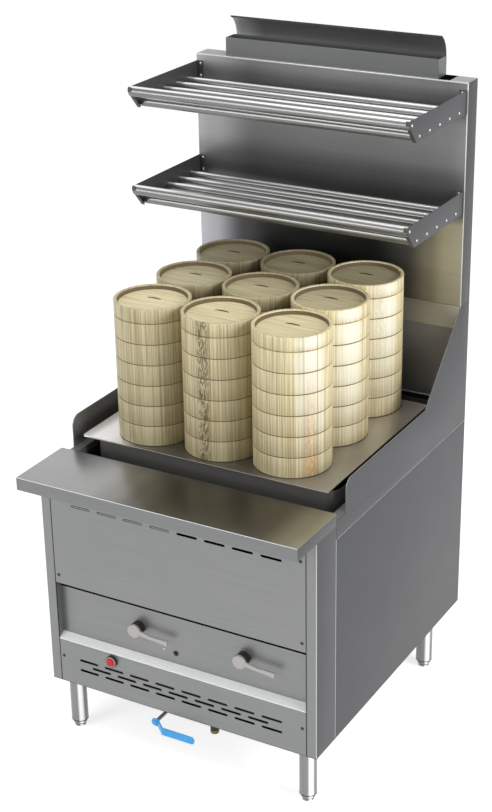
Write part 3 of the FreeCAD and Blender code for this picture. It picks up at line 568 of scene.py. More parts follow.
class Palette:
    """Every finish that the sub-assemblies share, each built once."""

    def __init__(self) -> None:
        """Build the finishes, sheet by sheet and then the small parts."""
        self.plain_sheets()
        self.shelf = self.shelf_finish()
        self.plate = self.plate_finish()
        self.riser = self.riser_finish()
        self.turned_bars()
        # Painted reflection: the deflector lighter towards its left end.
        curl = Sheen(Axis.X, ((-298.0, 3.6), (-270.0, 2.4), (-200.0, 1.1), (298.0, 0.95)))
        self.curl = SteelFinish(
            "deflector_steel", (0.150, 0.150, 0.150), Brush.ACROSS, 0.38, 0.25, painted_light=(curl,)
        ).build()
        self.small_parts()

    def plain_sheets(self) -> None:
        """Build the steels that have one tone."""
        across, back, up, steel = Brush.ACROSS, Brush.BACK, Brush.UP, SteelFinish
        # One stainless in tuned copies: their tones stand partly for painted light and shade,
        # darker for the side, guard, shelf-end and inside sheets and near white for the ledge.
        self.front = steel("front_steel", (0.232, 0.238, 0.234), across, 0.38, 0.6).build()
        self.side = steel("side_steel", (0.058, 0.059, 0.063), back, 0.5, 0.3).build()
        self.guard = steel("guard_steel", (0.062, 0.063, 0.067), back, 0.5, 0.3).build()
        self.left_guard = steel(
            "left_guard_steel", (0.135, 0.135, 0.140), back, 0.42, 0.2
        ).build()
        # Painted highlights: light steel laid along edges, hems, folded corners and seams.
        self.bright = steel("edge_highlight_steel", (0.86, 0.87, 0.88), across, 0.3, 0.3).build()
        self.corner = steel("corner_highlight_steel", (0.58, 0.59, 0.60), up, 0.35, 0.4).build()
        self.ledge = steel("ledge_steel", (0.975, 0.98, 0.98), across, 0.5, 0.05).build()
        self.fold = steel("fold_steel", (0.195, 0.200, 0.200), across, 0.36, 0.5).build()
        self.chute = steel("chute_steel", (0.150, 0.153, 0.154), across, 0.38, 0.4).build()
        self.splash = steel("splash_steel", (0.21, 0.21, 0.215), across, 0.32, 0.3).build()
        self.band = steel("band_steel", (0.26, 0.25, 0.21), across, 0.3, 0.5).build()
        self.tank = steel("tank_steel", (0.125, 0.122, 0.118), across, 0.4, 0.2).build()
        self.deck = steel("deck_steel", (0.20, 0.20, 0.20), back, 0.35, 0.3).build()
        self.inside = steel("inside_steel", (0.06, 0.06, 0.062), back, 0.45, 0.5).build()
        self.end = steel("shelf_end_steel", (0.054, 0.055, 0.058), back, 0.45, 0.3).build()
        self.cap = steel("riser_top_steel", (0.34, 0.34, 0.345), across, 0.4, 0.3).build()

    @staticmethod
    def shelf_finish() -> Material:
        """Build the work shelf's steel, with painted reflections: light at its left end, olive to
        the right.

        Returns:
            The material.
        """
        sheen = Sheen(Axis.X, (
            (-381.0, 1.55, 1.57, 1.65), (-190.0, 1.5, 1.52, 1.58), (-125.0, 1.15, 1.15, 1.12),
            (-60.0, 0.66, 0.66, 0.62), (0.0, 0.48, 0.47, 0.42), (270.0, 0.48, 0.46, 0.40),
            (345.0, 1.0, 0.98, 0.80), (381.0, 1.3, 1.26, 1.02),
        ))
        tone = (0.235, 0.232, 0.220)
        return SteelFinish("shelf_steel", tone, Brush.ACROSS, 0.3, 0.85, painted_light=(sheen,)).build()

    @staticmethod
    def plate_finish() -> Material:
        """Build the plate's steel, with painted reflections: light at its left end and at the back.

        Returns:
            The material.
        """
        across = Sheen(Axis.X, (
            (-352.0, 3.6, 3.6, 3.8), (-290.0, 2.4, 2.42, 2.6), (-235.0, 1.7),
            (-190.0, 0.65, 0.64, 0.60), (-130.0, 0.48, 0.46, 0.42), (140.0, 0.50, 0.48, 0.44),
            (210.0, 0.85, 0.83, 0.76), (348.0, 1.05, 1.04, 1.0),
        ))
        back = Sheen(Axis.Y, ((148.0, 1.0), (330.0, 1.0), (520.0, 1.5), (712.0, 2.3, 2.3, 2.35)))
        tone = (0.36, 0.345, 0.315)
        return SteelFinish(
            "plate_steel", tone, Brush.ACROSS, 0.26, 0.6, painted_light=(across, back)
        ).build()

    @staticmethod
    def riser_finish() -> Material:
        """Build the riser's steel: painted shade, dark behind the stacks, and painted reflections,
        olive beside them and light towards its ends and between the shelves.

        Returns:
            The material.
        """
        behind = Sheen(Axis.X, (
            (-381.0, 4.2, 4.2, 4.4), (-345.0, 4.2, 4.2, 4.4), (-245.0, 0.7),
            (130.0, 0.30, 0.30, 0.28), (225.0, 1.3, 1.3, 1.1), (290.0, 3.8, 3.5, 2.4),
            (335.0, 6.2, 5.7, 3.9), (381.0, 5.3, 4.9, 3.6),
        ), 1262.0)
        rise = Sheen(Axis.Z, (
            (1262.0, 0.35, 0.35, 0.36), (1310.0, 0.38), (1350.0, 0.62), (1410.0, 1.15),
            (1500.0, 1.2), (1535.0, 0.6), (1565.0, 0.62, 0.62, 0.63), (1598.0, 1.0),
        ))
        ends = Sheen(Axis.X, (
            (-381.0, 3.0), (-340.0, 2.5), (-210.0, 1.0), (130.0, 1.0), (250.0, 1.15),
            (330.0, 1.3), (381.0, 1.6),
        ))
        return SteelFinish(
            "riser_steel", (0.122, 0.123, 0.122), Brush.ACROSS, 0.36, 0.35, relief=0.02,
            painted_light=(behind, rise, ends),
        ).build()

    def turned_bars(self) -> None:
        """Build the polished steel of the shelf tubes and the legs, each with a painted highlight
        band.
        """
        tube = Glint((0.0, -0.36, 0.93), 0.93, 0.99, 0.95)
        self.tube = SteelFinish(
            "tube_steel", (0.185, 0.185, 0.182), Brush.ACROSS, 0.22, 0.7, 0.03, 0.0, (tube,)
        ).build()
        leg = Glint((0.75, -0.66, 0.0), 0.915, 0.99, 0.92)
        self.leg = SteelFinish(
            "leg_steel", (0.235, 0.235, 0.24), Brush.UP, 0.22, 0.7, painted_light=(leg,)
        ).build()

    def small_parts(self) -> None:
        """Build the finishes of screws, controls, fittings and dark gaps."""
        coat = CoatFinish
        self.screw = coat("screw_steel", (0.72, 0.72, 0.72), 0.22, 0.6, 0.05).build()
        self.handle = coat("handle_metal", (0.42, 0.40, 0.39), 0.32, 0.35, 0.02).build()
        # Black for dark joints and for painted shadow strips and rings.
        self.void = coat("gap_and_shadow_black", (0.004, 0.004, 0.004), 1.0, specular=0.0).build()
        self.silver = coat("bezel_metal", (0.56, 0.46, 0.46), 0.3, 0.4, 0.05).build()
        self.black = coat("black_moulding", (0.012, 0.012, 0.013), 0.5).build()
        self.red = coat("red_button", (0.66, 0.010, 0.012), 0.5).build()
        self.lamp = coat("lamp_lens", (0.036, 0.002, 0.008), 0.5, specular=0.25).build()
        self.lever = coat("lever_coating", (0.050, 0.420, 0.960), 0.4, coat=0.1).build()
        self.brass = coat("aged_brass", (0.30, 0.205, 0.045), 0.4, 0.6).build()
        self.iron = coat("cast_iron", (0.035, 0.033, 0.032), 0.6, 0.4).build()


# Mesh making


def outline_solid(points: list[Pair], axis: Axis, start: float, end: float) -> Solid:
    """Draw an outline out along an axis.

    Args:
        points: corners; (y, z) along X, (x, z) along Y, (x, y) along Z.
        axis: the axis to draw along.
        start: the low end on that axis.
        end: the high end on that axis.

    Returns:
        A closed mesh in metres.
    """
    mesh = bmesh.new()
    rings = []
    for level in (start, end):
        ring = []
        for across, up in points:
            spot = [across, up]
            spot.insert(axis.value, level)
            ring.append(mesh.verts.new(place(*spot)))
        rings.append(ring)
    mesh.faces.new(rings[0])
    mesh.faces.new(rings[1])
    skin(mesh, rings)
    bmesh.ops.recalc_face_normals(mesh, faces=mesh.faces)
    return mesh


def skin(mesh: Solid, loops: list[list[bmesh.types.BMVert]]) -> None:
    """Join each loop of corners to the next one with four-sided faces.

    Args:
        mesh: the mesh that holds the corners.
        loops: loops with as many corners each.
    """
    for low, high in zip(loops, loops[1:]):
        for index in range(len(low)):
            after = (index + 1) % len(low)
            mesh.faces.new((low[index], low[after], high[after], high[index]))


def block(x: Pair, y: Pair, z: Pair, edge: float = 0.0) -> Solid:
    """Make a block between two values on each axis.

    Args:
        x: its left and right ends.
        y: its front and back.
        z: its bottom and top.
        edge: how far its edges are rounded, if at all.

    Returns:
        A closed mesh in metres.
    """
    mesh = outline_solid(
        [(x[0], y[0]), (x[1], y[0]), (x[1], y[1]), (x[0], y[1])], Axis.Z, *z
    )
    return soften(mesh, edge) if edge else mesh


def soften(mesh: Solid, width: float, segments: int = 2, angle: float = 30.0) -> Solid:
    """Round the edges that turn by more than an angle.

    Args:
        mesh: the mesh to change.
        width: how far the rounding reaches, in millimetres.
        segments: facets across the rounding.
        angle: the least turn in degrees.

    Returns:
        The same mesh.
    """
    edges = [
        e for e in mesh.edges
        if len(e.link_faces) == 2 and e.calc_face_angle(0.0) > math.radians(angle)
    ]
    bmesh.ops.bevel(
        mesh, geom=edges, offset=width * MM, segments=segments, profile=0.6, affect="EDGES",
        clamp_overlap=True,
    )
    return mesh


def merge(*meshes: Solid) -> Solid:
    """Put several meshes together as separate shells of the first one.

    Args:
        meshes: the meshes; all but the first are freed.

    Returns:
        The first mesh.
    """
    first = meshes[0]
    for other in meshes[1:]:
        spare = bpy.data.meshes.new("spare")
        other.to_mesh(spare)
        other.free()
        first.from_mesh(spare)
        bpy.data.meshes.remove(spare)
    return first


def lathe(
    profile: list[Pair], centre: Triple, axis: Axis = Axis.Z, segments: int = 64
) -> Solid:
    """Turn a profile round an axis.

    Args:
        profile: (radius, height) pairs from one end of the axis to the other, or a closed ring
            when the first radius isn't zero.
        centre: the point from which heights are counted, in millimetres.
        axis: the axis of turning.
        segments: facets round the axis.

    Returns:
        A closed mesh in metres.
    """
    mesh = bmesh.new()
    closed = profile[0][0] > 0.0
    base = place(*centre)
    rings: list[list[bmesh.types.BMVert]] = []
    for radius, height in profile:
        ring = []
        for step in range(1 if radius <= 0.0 else segments):
            turn = 2.0 * math.pi * step / segments
            spot = [radius * math.cos(turn), radius * math.sin(turn)]
            spot.insert(axis.value, height)
            ring.append(mesh.verts.new(base + Vector(spot) * MM))
        rings.append(ring)
    pairs = list(zip(rings, rings[1:]))
    if closed:
        pairs.append((rings[-1], rings[0]))
    for low, high in pairs:
        for step in range(segments):
            after = (step + 1) % segments
            corners = [low[step % len(low)], low[after % len(low)]]
            corners += [high[after % len(high)], high[step % len(high)]]
            unique = list(dict.fromkeys(corners))
            if len(unique) >= 3:
                mesh.faces.new(unique)
    bmesh.ops.recalc_face_normals(mesh, faces=mesh.faces)
    return mesh


def enrol(
    data: bpy.types.Mesh, name: str, body: str, stands_for: tuple[str, ...]
) -> bpy.types.Object:
    """Put a finished mesh into the scene, let it ride on its body and report it.

    Args:
        data: the mesh, in metres.
        name: the piece's name.
        body: the body it moves with.
        stands_for: the nodes it replaces.

    Returns:
        The new object.
    """
    thing = bpy.data.objects.new(name, data)
    bpy.context.scene.collection.objects.link(thing)
    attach(thing, body)
    if stands_for:
        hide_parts(*stands_for)
    LOG.info("piece %s: %d faces", name, len(data.polygons))
    return thing


def piece(
    mesh: Solid, name: str, material: Material, body: str = CABINET,
    stands_for: tuple[str, ...] = (), angle: float = 28.0,
) -> None:
    """Turn a finished mesh into a piece that rides on a body.

    Args:
        mesh: the mesh, in metres, which is freed.
        name: the piece's name.
        material: its finish.
        body: the body it moves with.
        stands_for: the nodes it replaces.
        angle: edges that turn more than this many degrees stay crisp.
    """
    for face in mesh.faces:
        face.smooth = True
    for edge in mesh.edges:
        edge.smooth = len(edge.link_faces) != 2 or edge.calc_face_angle(0.0) < math.radians(angle)
    data = bpy.data.meshes.new(name)
    mesh.to_mesh(data)
    mesh.free()
    data.materials.append(material)
    enrol(data, name, body, stands_for)


def dress(material: Material, *nodes: str) -> None:
    """Give nodes of the part a better finish without touching their meshes.

    Args:
        material: the finish.
        nodes: the names of the nodes.
    """
    for node in nodes:
        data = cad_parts[node].data
        data.materials.clear()
        data.materials.append(material)


# Repeated pieces


class Repeater(NodeGraph):
    """A Geometry Nodes tree that puts one form on every point of a mesh."""

    def __init__(self, name: str, material: Material) -> None:
        """Start a tree with one geometry input.

        Args:
            name: the tree's name.
            material: the finish of what it makes.
        """
        super().__init__(bpy.data.node_groups.new(name, "GeometryNodeTree"))
        for label, way in (("Points", "INPUT"), ("Result", "OUTPUT")):
            self.tree.interface.new_socket(label, in_out=way, socket_type="NodeSocketGeometry")
        self.enter = self.add("NodeGroupInput")
        self.leave = self.add("NodeGroupOutput")
        self.material = material
        self.sizes: dict[str, float] = {}

    def size(self, name: str, value: float, target: Socket) -> None:
        """Add a named size and lead it to an input.

        Args:
            name: the size's name.
            value: the size in millimetres.
            target: the input that takes it, in metres.
        """
        socket = self.tree.interface.new_socket(
            name, in_out="INPUT", socket_type="NodeSocketFloat"
        )
        self.sizes[socket.identifier] = value * MM
        self.join(self.enter.outputs[name], target)

    def on_points(self, form: Socket) -> Socket:
        """Put a form on every point.

        Args:
            form: the form.

        Returns:
            The instances.
        """
        copies = self.add("GeometryNodeInstanceOnPoints")
        self.join(self.enter.outputs["Points"], copies.inputs["Points"])
        self.join(form, copies.inputs["Instance"])
        return copies.outputs["Instances"]

    def sweep(self, path: Socket, profile: Socket, caps: bool) -> Socket:
        """Draw a profile along a path.

        Args:
            path: the curve to follow.
            profile: the closed curve to draw along it.
            caps: whether the ends are closed.

        Returns:
            The mesh.
        """
        node = self.add("GeometryNodeCurveToMesh", {"Fill Caps": caps})
        self.join(path, node.inputs["Curve"])
        self.join(profile, node.inputs["Profile Curve"])
        return node.outputs["Mesh"]

    def end(self, geometry: Socket) -> None:
        """Make instances real, set the finish and close the tree.

        Args:
            geometry: what the tree makes.
        """
        real = self.add("GeometryNodeRealizeInstances")
        paint = self.add("GeometryNodeSetMaterial", {"Material": self.material})
        self.join(geometry, real.inputs[0])
        self.join(real.outputs[0], paint.inputs["Geometry"])
        self.join(paint.outputs[0], self.leave.inputs["Result"])

    def run(
        self, points: list[Vector], name: str, body: str = CABINET, stands_for: tuple[str, ...] = ()
    ) -> bpy.types.Object:
        """Evaluate the tree on some points and keep the result as a plain mesh.

        Args:
            points: places in metres.
            name: the piece's name.
            body: the body it moves with.
            stands_for: the nodes it replaces.

        Returns:
            The new object.
        """
        seeds = bpy.data.meshes.new(name + "_points")
        seeds.from_pydata([tuple(p) for p in points], [], [])
        holder = bpy.data.objects.new(name + "_holder", seeds)
        bpy.context.scene.collection.objects.link(holder)
        modifier = holder.modifiers.new("repeat", "NODES")
        modifier.node_group = self.tree
        for identifier, value in self.sizes.items():
            modifier[identifier] = value
        graph = bpy.context.evaluated_depsgraph_get()
        data = bpy.data.meshes.new_from_object(holder.evaluated_get(graph))
        data.name = name
        bpy.data.objects.remove(holder)
        return enrol(data, name, body, stands_for)


class FastenerRepeater(Repeater):
    """Domed screw or rivet heads that face one way."""

    def __init__(
        self, name: str, material: Material, radius: float, axis: Axis, dome: float = 0.45
    ) -> None:
        """Build the tree.

        Args:
            name: the tree's name.
            material: the heads' finish.
            radius: the head's radius in millimetres.
            axis: the axis the head faces along.
            dome: the head's height as a share of its radius.
        """
        super().__init__(name, material)
        head = self.add("GeometryNodeMeshUVSphere", {"Segments": 14, "Rings": 8})
        self.size("Head radius", radius, head.inputs["Radius"])
        scale = [1.0, 1.0, 1.0]
        scale[axis.value] = dome
        flat = self.add("GeometryNodeTransform", {"Scale": scale})
        smooth = self.add("GeometryNodeSetShadeSmooth")
        self.join(head.outputs["Mesh"], flat.inputs["Geometry"])
        self.join(flat.outputs["Geometry"], smooth.inputs[0])
        self.end(self.on_points(smooth.outputs[0]))


class TubeRepeater(Repeater):
    """Round tubes that run across the shelf, one on every point."""

    def __init__(self, name: str, material: Material, radius: float, length: float) -> None:
        """Build the tree.

        Args:
            name: the tree's name.
            material: the tubes' finish.
            radius: a tube's radius in millimetres.
            length: a tube's length in millimetres.
        """
        super().__init__(name, material)
        ends = {"Start": (-length / 2 * MM, 0.0, 0.0), "End": (length / 2 * MM, 0.0, 0.0)}
        line = self.add("GeometryNodeCurvePrimitiveLine", ends)
        ring = self.add("GeometryNodeCurvePrimitiveCircle", {"Resolution": 56})
        self.size("Tube radius", radius, ring.inputs["Radius"])
        tube = self.sweep(line.outputs["Curve"], ring.outputs["Curve"], True)
        self.end(self.on_points(tube))


class SlotRepeater(Repeater):
    """A flat panel facing forward, pierced by a round-ended slot on every point."""

    def __init__(
        self, name: str, material: Material, width: float, low: float, high: float, slot: Pair
    ) -> None:
        """Build the tree.

        Args:
            name: the tree's name.
            material: the panel's finish.
            width: the panel's width in millimetres.
            low: the height of its lower edge.
            high: the height of its upper edge.
            slot: the length and height of a slot.
        """
        super().__init__(name, material)
        length, height = slot
        hole = self.add("GeometryNodeCurvePrimitiveQuadrilateral")
        self.size("Slot length", length, hole.inputs["Width"])
        self.size("Slot height", height, hole.inputs["Height"])
        ends = self.add("GeometryNodeFilletCurve", {"Count": 5}, mode="POLY")
        self.size("End radius", height * 0.498, ends.inputs["Radius"])
        real = self.add("GeometryNodeRealizeInstances")
        sheet = self.add("GeometryNodeCurvePrimitiveQuadrilateral")
        self.size("Panel width", width, sheet.inputs["Width"])
        self.size("Panel height", high - low, sheet.inputs["Height"])
        both = self.add("GeometryNodeJoinGeometry")
        fill = self.add("GeometryNodeFillCurve", mode="TRIANGLES")
        push = {"Individual": False, "Offset": (0.0, 0.0, 1.0)}
        thick = self.add("GeometryNodeExtrudeMesh", push, mode="FACES")
        self.size("Thickness", SHEET, thick.inputs["Offset Scale"])
        turned = self.add("GeometryNodeFlipFaces")
        shell = self.add("GeometryNodeJoinGeometry")
        weld = self.add("GeometryNodeMergeByDistance", {"Distance": 0.000001})
        stand = self.add("GeometryNodeTransform", {
            "Rotation": (math.pi / 2, 0.0, 0.0),
            "Translation": place(0.0, SHEET, (low + high) / 2),
        })
        self.join(hole.outputs["Curve"], ends.inputs["Curve"])
        self.join(self.on_points(ends.outputs["Curve"]), real.inputs[0])
        self.join(real.outputs[0], both.inputs[0])
        self.join(sheet.outputs["Curve"], both.inputs[0])
        self.join(both.outputs[0], fill.inputs["Curve"])
        self.join(fill.outputs["Mesh"], thick.inputs["Mesh"])
        self.join(fill.outputs["Mesh"], turned.inputs["Mesh"])
        self.join(thick.outputs["Mesh"], shell.inputs[0])
        self.join(turned.outputs["Mesh"], shell.inputs[0])
        self.join(shell.outputs[0], weld.inputs["Geometry"])
        self.join(weld.outputs["Geometry"], stand.inputs["Geometry"])
        self.end(stand.outputs["Geometry"])


class TierRepeater(Repeater):
    """Round basket tiers with softened edges, one on every point."""

    def __init__(
        self, name: str, material: Material, radius: float, wall: float, height: float
    ) -> None:
        """Build the tree.

        Args:
            name: the tree's name.
            material: the tiers' finish.
            radius: a tier's outer radius in millimetres.
            wall: its wall.
            height: its height.
        """
        super().__init__(name, material)
        path = self.add("GeometryNodeCurvePrimitiveCircle", {"Resolution": 112})
        self.size("Wall radius", radius - wall / 2, path.inputs["Radius"])
        band = self.add("GeometryNodeCurvePrimitiveQuadrilateral")
        self.size("Wall", wall, band.inputs["Width"])
        self.size("Tier height", height, band.inputs["Height"])
        soft = self.add("GeometryNodeFilletCurve", {"Count": 2}, mode="POLY")
        self.size("Edge radius", 1.1, soft.inputs["Radius"])
        self.join(band.outputs["Curve"], soft.inputs["Curve"])
        ring = self.sweep(path.outputs["Curve"], soft.outputs["Curve"], False)
        self.end(self.on_points(ring))


# Sub-assemblies


@dataclass
class Cabinet:
    """The folded sheets round the burner space, the deck and the work shelf."""

    palette: Palette
    half: float = 381.0
    depth: float = 846.0
    low: float = 154.0
    stile: float = 27.0
    strip: float = 98.0
    seam: float = 700.0
    deck: float = 748.0
    flange: float = 733.5
    shelf_top: float = 767.0
    shelf_nose: float = -92.0
    upper_foot: float = 442.0
    lower_top: float = 278.5
    slot_pitch: float = 75.3
    slot_first: float = -263.6
    slot_level: float = 669.0
    upper_slot: Pair = (56.0, 6.6)
    lower_slot: Pair = (56.0, 6.8)
    slot_rows: tuple[tuple[float, int], ...] = ((201.0, 8), (215.5, 7), (230.0, 8))
    screws: tuple[Pair, ...] = ((-343, 465), (343, 465), (340, 680), (-343, 230), (343, 230))

    @property
    def edge(self) -> float:
        """Give half the width between the two corner posts."""
        return self.half - self.stile

    @property
    def foot(self) -> float:
        """Give the height of the sheets' lower edge."""
        return self.low + SHEET

    def build(self) -> None:
        """Build every piece of the cabinet."""
        for side, sign in SIDES:
            self.post(side, sign)
            self.side_panel(side, sign)
        self.front_panels()
        self.panel_folds()
        self.work_shelf()
        heads = FastenerRepeater("front_screws", self.palette.black, 4.4, Axis.Y)
        heads.run([place(x, 0.0, z) for x, z in self.screws], "front_screws")
        dress(self.palette.side, "base_pan", "rear_panel", "flue_chute")
        dress(self.palette.inside, "firebox")
        dress(self.palette.deck, "deck_frame")
        dress(self.palette.front, "control_panel")
        dress(self.palette.ledge, "control_ledge")
        self.trims()

    def post(self, side: str, sign: float) -> None:
        """Build one corner post with softened folds.

        Args:
            side: left or right.
            sign: -1 on the left and 1 on the right.
        """
        outer, edge = self.half - 0.2, self.edge
        stile = [
            (sign * outer, 0.0), (sign * edge, 0.0), (sign * edge, 24.0),
            (sign * (edge + SHEET), 24.0), (sign * (edge + SHEET), SHEET), (sign * outer, SHEET),
        ]
        front = soften(outline_solid(stile, Axis.Z, self.foot, self.flange), 0.6)
        piece(front, side + "_stile", self.palette.front, stands_for=(side + "_corner_post",))
        x = span(self.half, self.half - SHEET, sign)
        strip = block(x, (SHEET, self.strip - 0.6), (self.foot, self.flange), 0.5)
        piece(strip, side + "_post_strip", self.palette.side)

    def side_panel(self, side: str, sign: float) -> None:
        """Build one side panel and the painted highlight line along its joints.

        Args:
            side: left or right.
            sign: -1 on the left and 1 on the right.
        """
        half, fold, joint, inside = self.half, self.half - 15.0, self.strip + 0.6, self.strip + 2.1
        sheet = [
            (sign * half, joint), (sign * half, self.depth), (sign * (half - SHEET), self.depth),
            (sign * (half - SHEET), inside), (sign * fold, inside), (sign * fold, joint),
        ]
        panel = soften(outline_solid(sheet, Axis.Z, self.foot, self.seam - 0.5), 0.5)
        piece(panel, side + "_side_sheet", self.palette.side, stands_for=(side + "_side_panel",))
        x = span(half - 1.0, half, sign)
        upright = (self.strip - 1.1, self.strip + 0.5), (self.low + 3.0, self.seam - 1.0)
        level = (self.strip + 1.0, self.depth - 1.0), (self.seam - 1.6, self.seam - 0.2)
        lines = merge(block(x, *upright), block(x, *level))
        piece(lines, side + "_seam_highlight", self.palette.corner)

    def trims(self) -> None:
        """Build the painted highlights on the folded corners and the ledge lip, the dark joints,
        and the painted shadow strip under the upper panel.
        """
        edge, half, tall = self.edge, self.half, (self.foot, self.flange - 0.5)
        corners, joints, lips = [], [], []
        for _, sign in SIDES:
            corners.append(block(span(half, half - 1.6, sign), (-0.2, 1.6), tall, 0.6))
            joints.append(block(span(edge - 1.2, edge + 0.6, sign), (-0.15, 1.0), tall))
            lips.append(block(span(edge + 0.8, edge + 2.4, sign), (-0.2, 1.0), tall))
        piece(merge(*corners), "front_corner_highlights", self.palette.corner)
        piece(merge(*joints), "front_panel_joints", self.palette.void)
        piece(merge(*lips), "front_panel_lips", self.palette.fold)
        # Painted shadow: a black strip on the recessed panel where the upper panel's edge casts its
        # shadow.
        shadow_strip = block((-edge + 1.5, edge - 1.5), (18.6, 20.4), (423.6, self.upper_foot - 0.5))
        piece(shadow_strip, "recess_shadow_strip", self.palette.void)
        backing = block((-296.0, -6.0), (1.6, 2.4), (660.0, 669.6))
        piece(backing, "slot_backing", self.palette.front)
        # Painted highlight along the ledge's lip.
        lip = block((-edge + 1.0, edge - 1.0), (-0.3, 1.2), (277.6, 279.4), 0.3)
        piece(lip, "ledge_lip_highlight", self.palette.bright)

    def pierced(
        self, name: str, low: float, high: float, slot: Pair, spots: list[Pair], hides: str
    ) -> None:
        """Build one front panel with its slots.

        Args:
            name: the panel's place, upper or lower.
            low: the height of its lower edge.
            high: the height of its upper edge.
            slot: the length and height of a slot.
            spots: the slots' middles, across and up.
            hides: the node that it replaces.
        """
        width = 2 * self.edge - 1.0
        sheet = SlotRepeater(name + "_slots", self.palette.front, width, low, high, slot)
        middle = (low + high) / 2
        points = [Vector((x * MM, (z - middle) * MM, 0.0)) for x, z in spots]
        sheet.run(points, name + "_front_sheet", stands_for=(hides,))

    def front_panels(self) -> None:
        """Build the slotted panels above and below the control recess."""
        low, high = self.upper_foot, self.deck
        spots = [(self.slot_first + self.slot_pitch * n, self.slot_level) for n in range(8)]
        self.pierced("upper", low, high, self.upper_slot, spots, "upper_front_panel")
        low, high, spots = self.foot, self.lower_top, []
        for height, count in self.slot_rows:
            first = -(count - 1) * self.slot_pitch / 2 - 3.0
            spots += [(first + self.slot_pitch * n, height) for n in range(count)]
        self.pierced("lower", low, high, self.lower_slot, spots, "lower_front_panel")

    def panel_folds(self) -> None:
        """Build the folds of both front panels and the dark lining behind the lower one."""
        edge, depth = self.edge, (SHEET, 15.0)
        folds = (
            ("upper_lower_fold", (SHEET, 21.5), self.upper_foot),
            ("upper_top_fold", depth, self.deck - SHEET),
            ("lower_top_fold", depth, self.lower_top - SHEET),
        )
        for name, y, low in folds:
            piece(block((-edge, edge), y, (low, low + SHEET), 0.4), name, self.palette.front)
        lining = block((-edge + 2, edge - 2), (26.0, 27.0), (self.low + 8, self.lower_top - 2.5))
        piece(lining, "lower_dark_lining", self.palette.inside)

    def work_shelf(self) -> None:
        """Build the shelf as a tray turned upside down, with rounded folds."""
        half, top, nose, back = self.half, self.shelf_top, self.shelf_nose, self.strip
        fold = (self.flange, top - 0.7)
        sheet = block((-half, half), (nose + 0.1, back), (top - SHEET, top), 0.6)
        front = block((-half, half), (nose, nose + SHEET), fold, 0.7)
        ends = [block(span(half, half - SHEET, s), (nose + 1.0, back), fold, 0.7) for _, s in SIDES]
        inner = half - SHEET
        rear = block((-inner, inner), (back - SHEET, back), (self.deck, top - 0.7), 0.5)
        piece(sheet, "work_shelf_top", self.palette.shelf, stands_for=("work_shelf",))
        piece(merge(front, rear), "work_shelf_folds", self.palette.fold)
        piece(merge(*ends), "work_shelf_side_folds", self.palette.end)
        # Painted highlight along the shelf's front edge.
        rim = block((-380.8, 380.8), (nose, nose + 1.0), (top - 1.6, top - 0.05), 0.3)
        piece(rim, "work_shelf_edge_highlight", self.palette.bright)


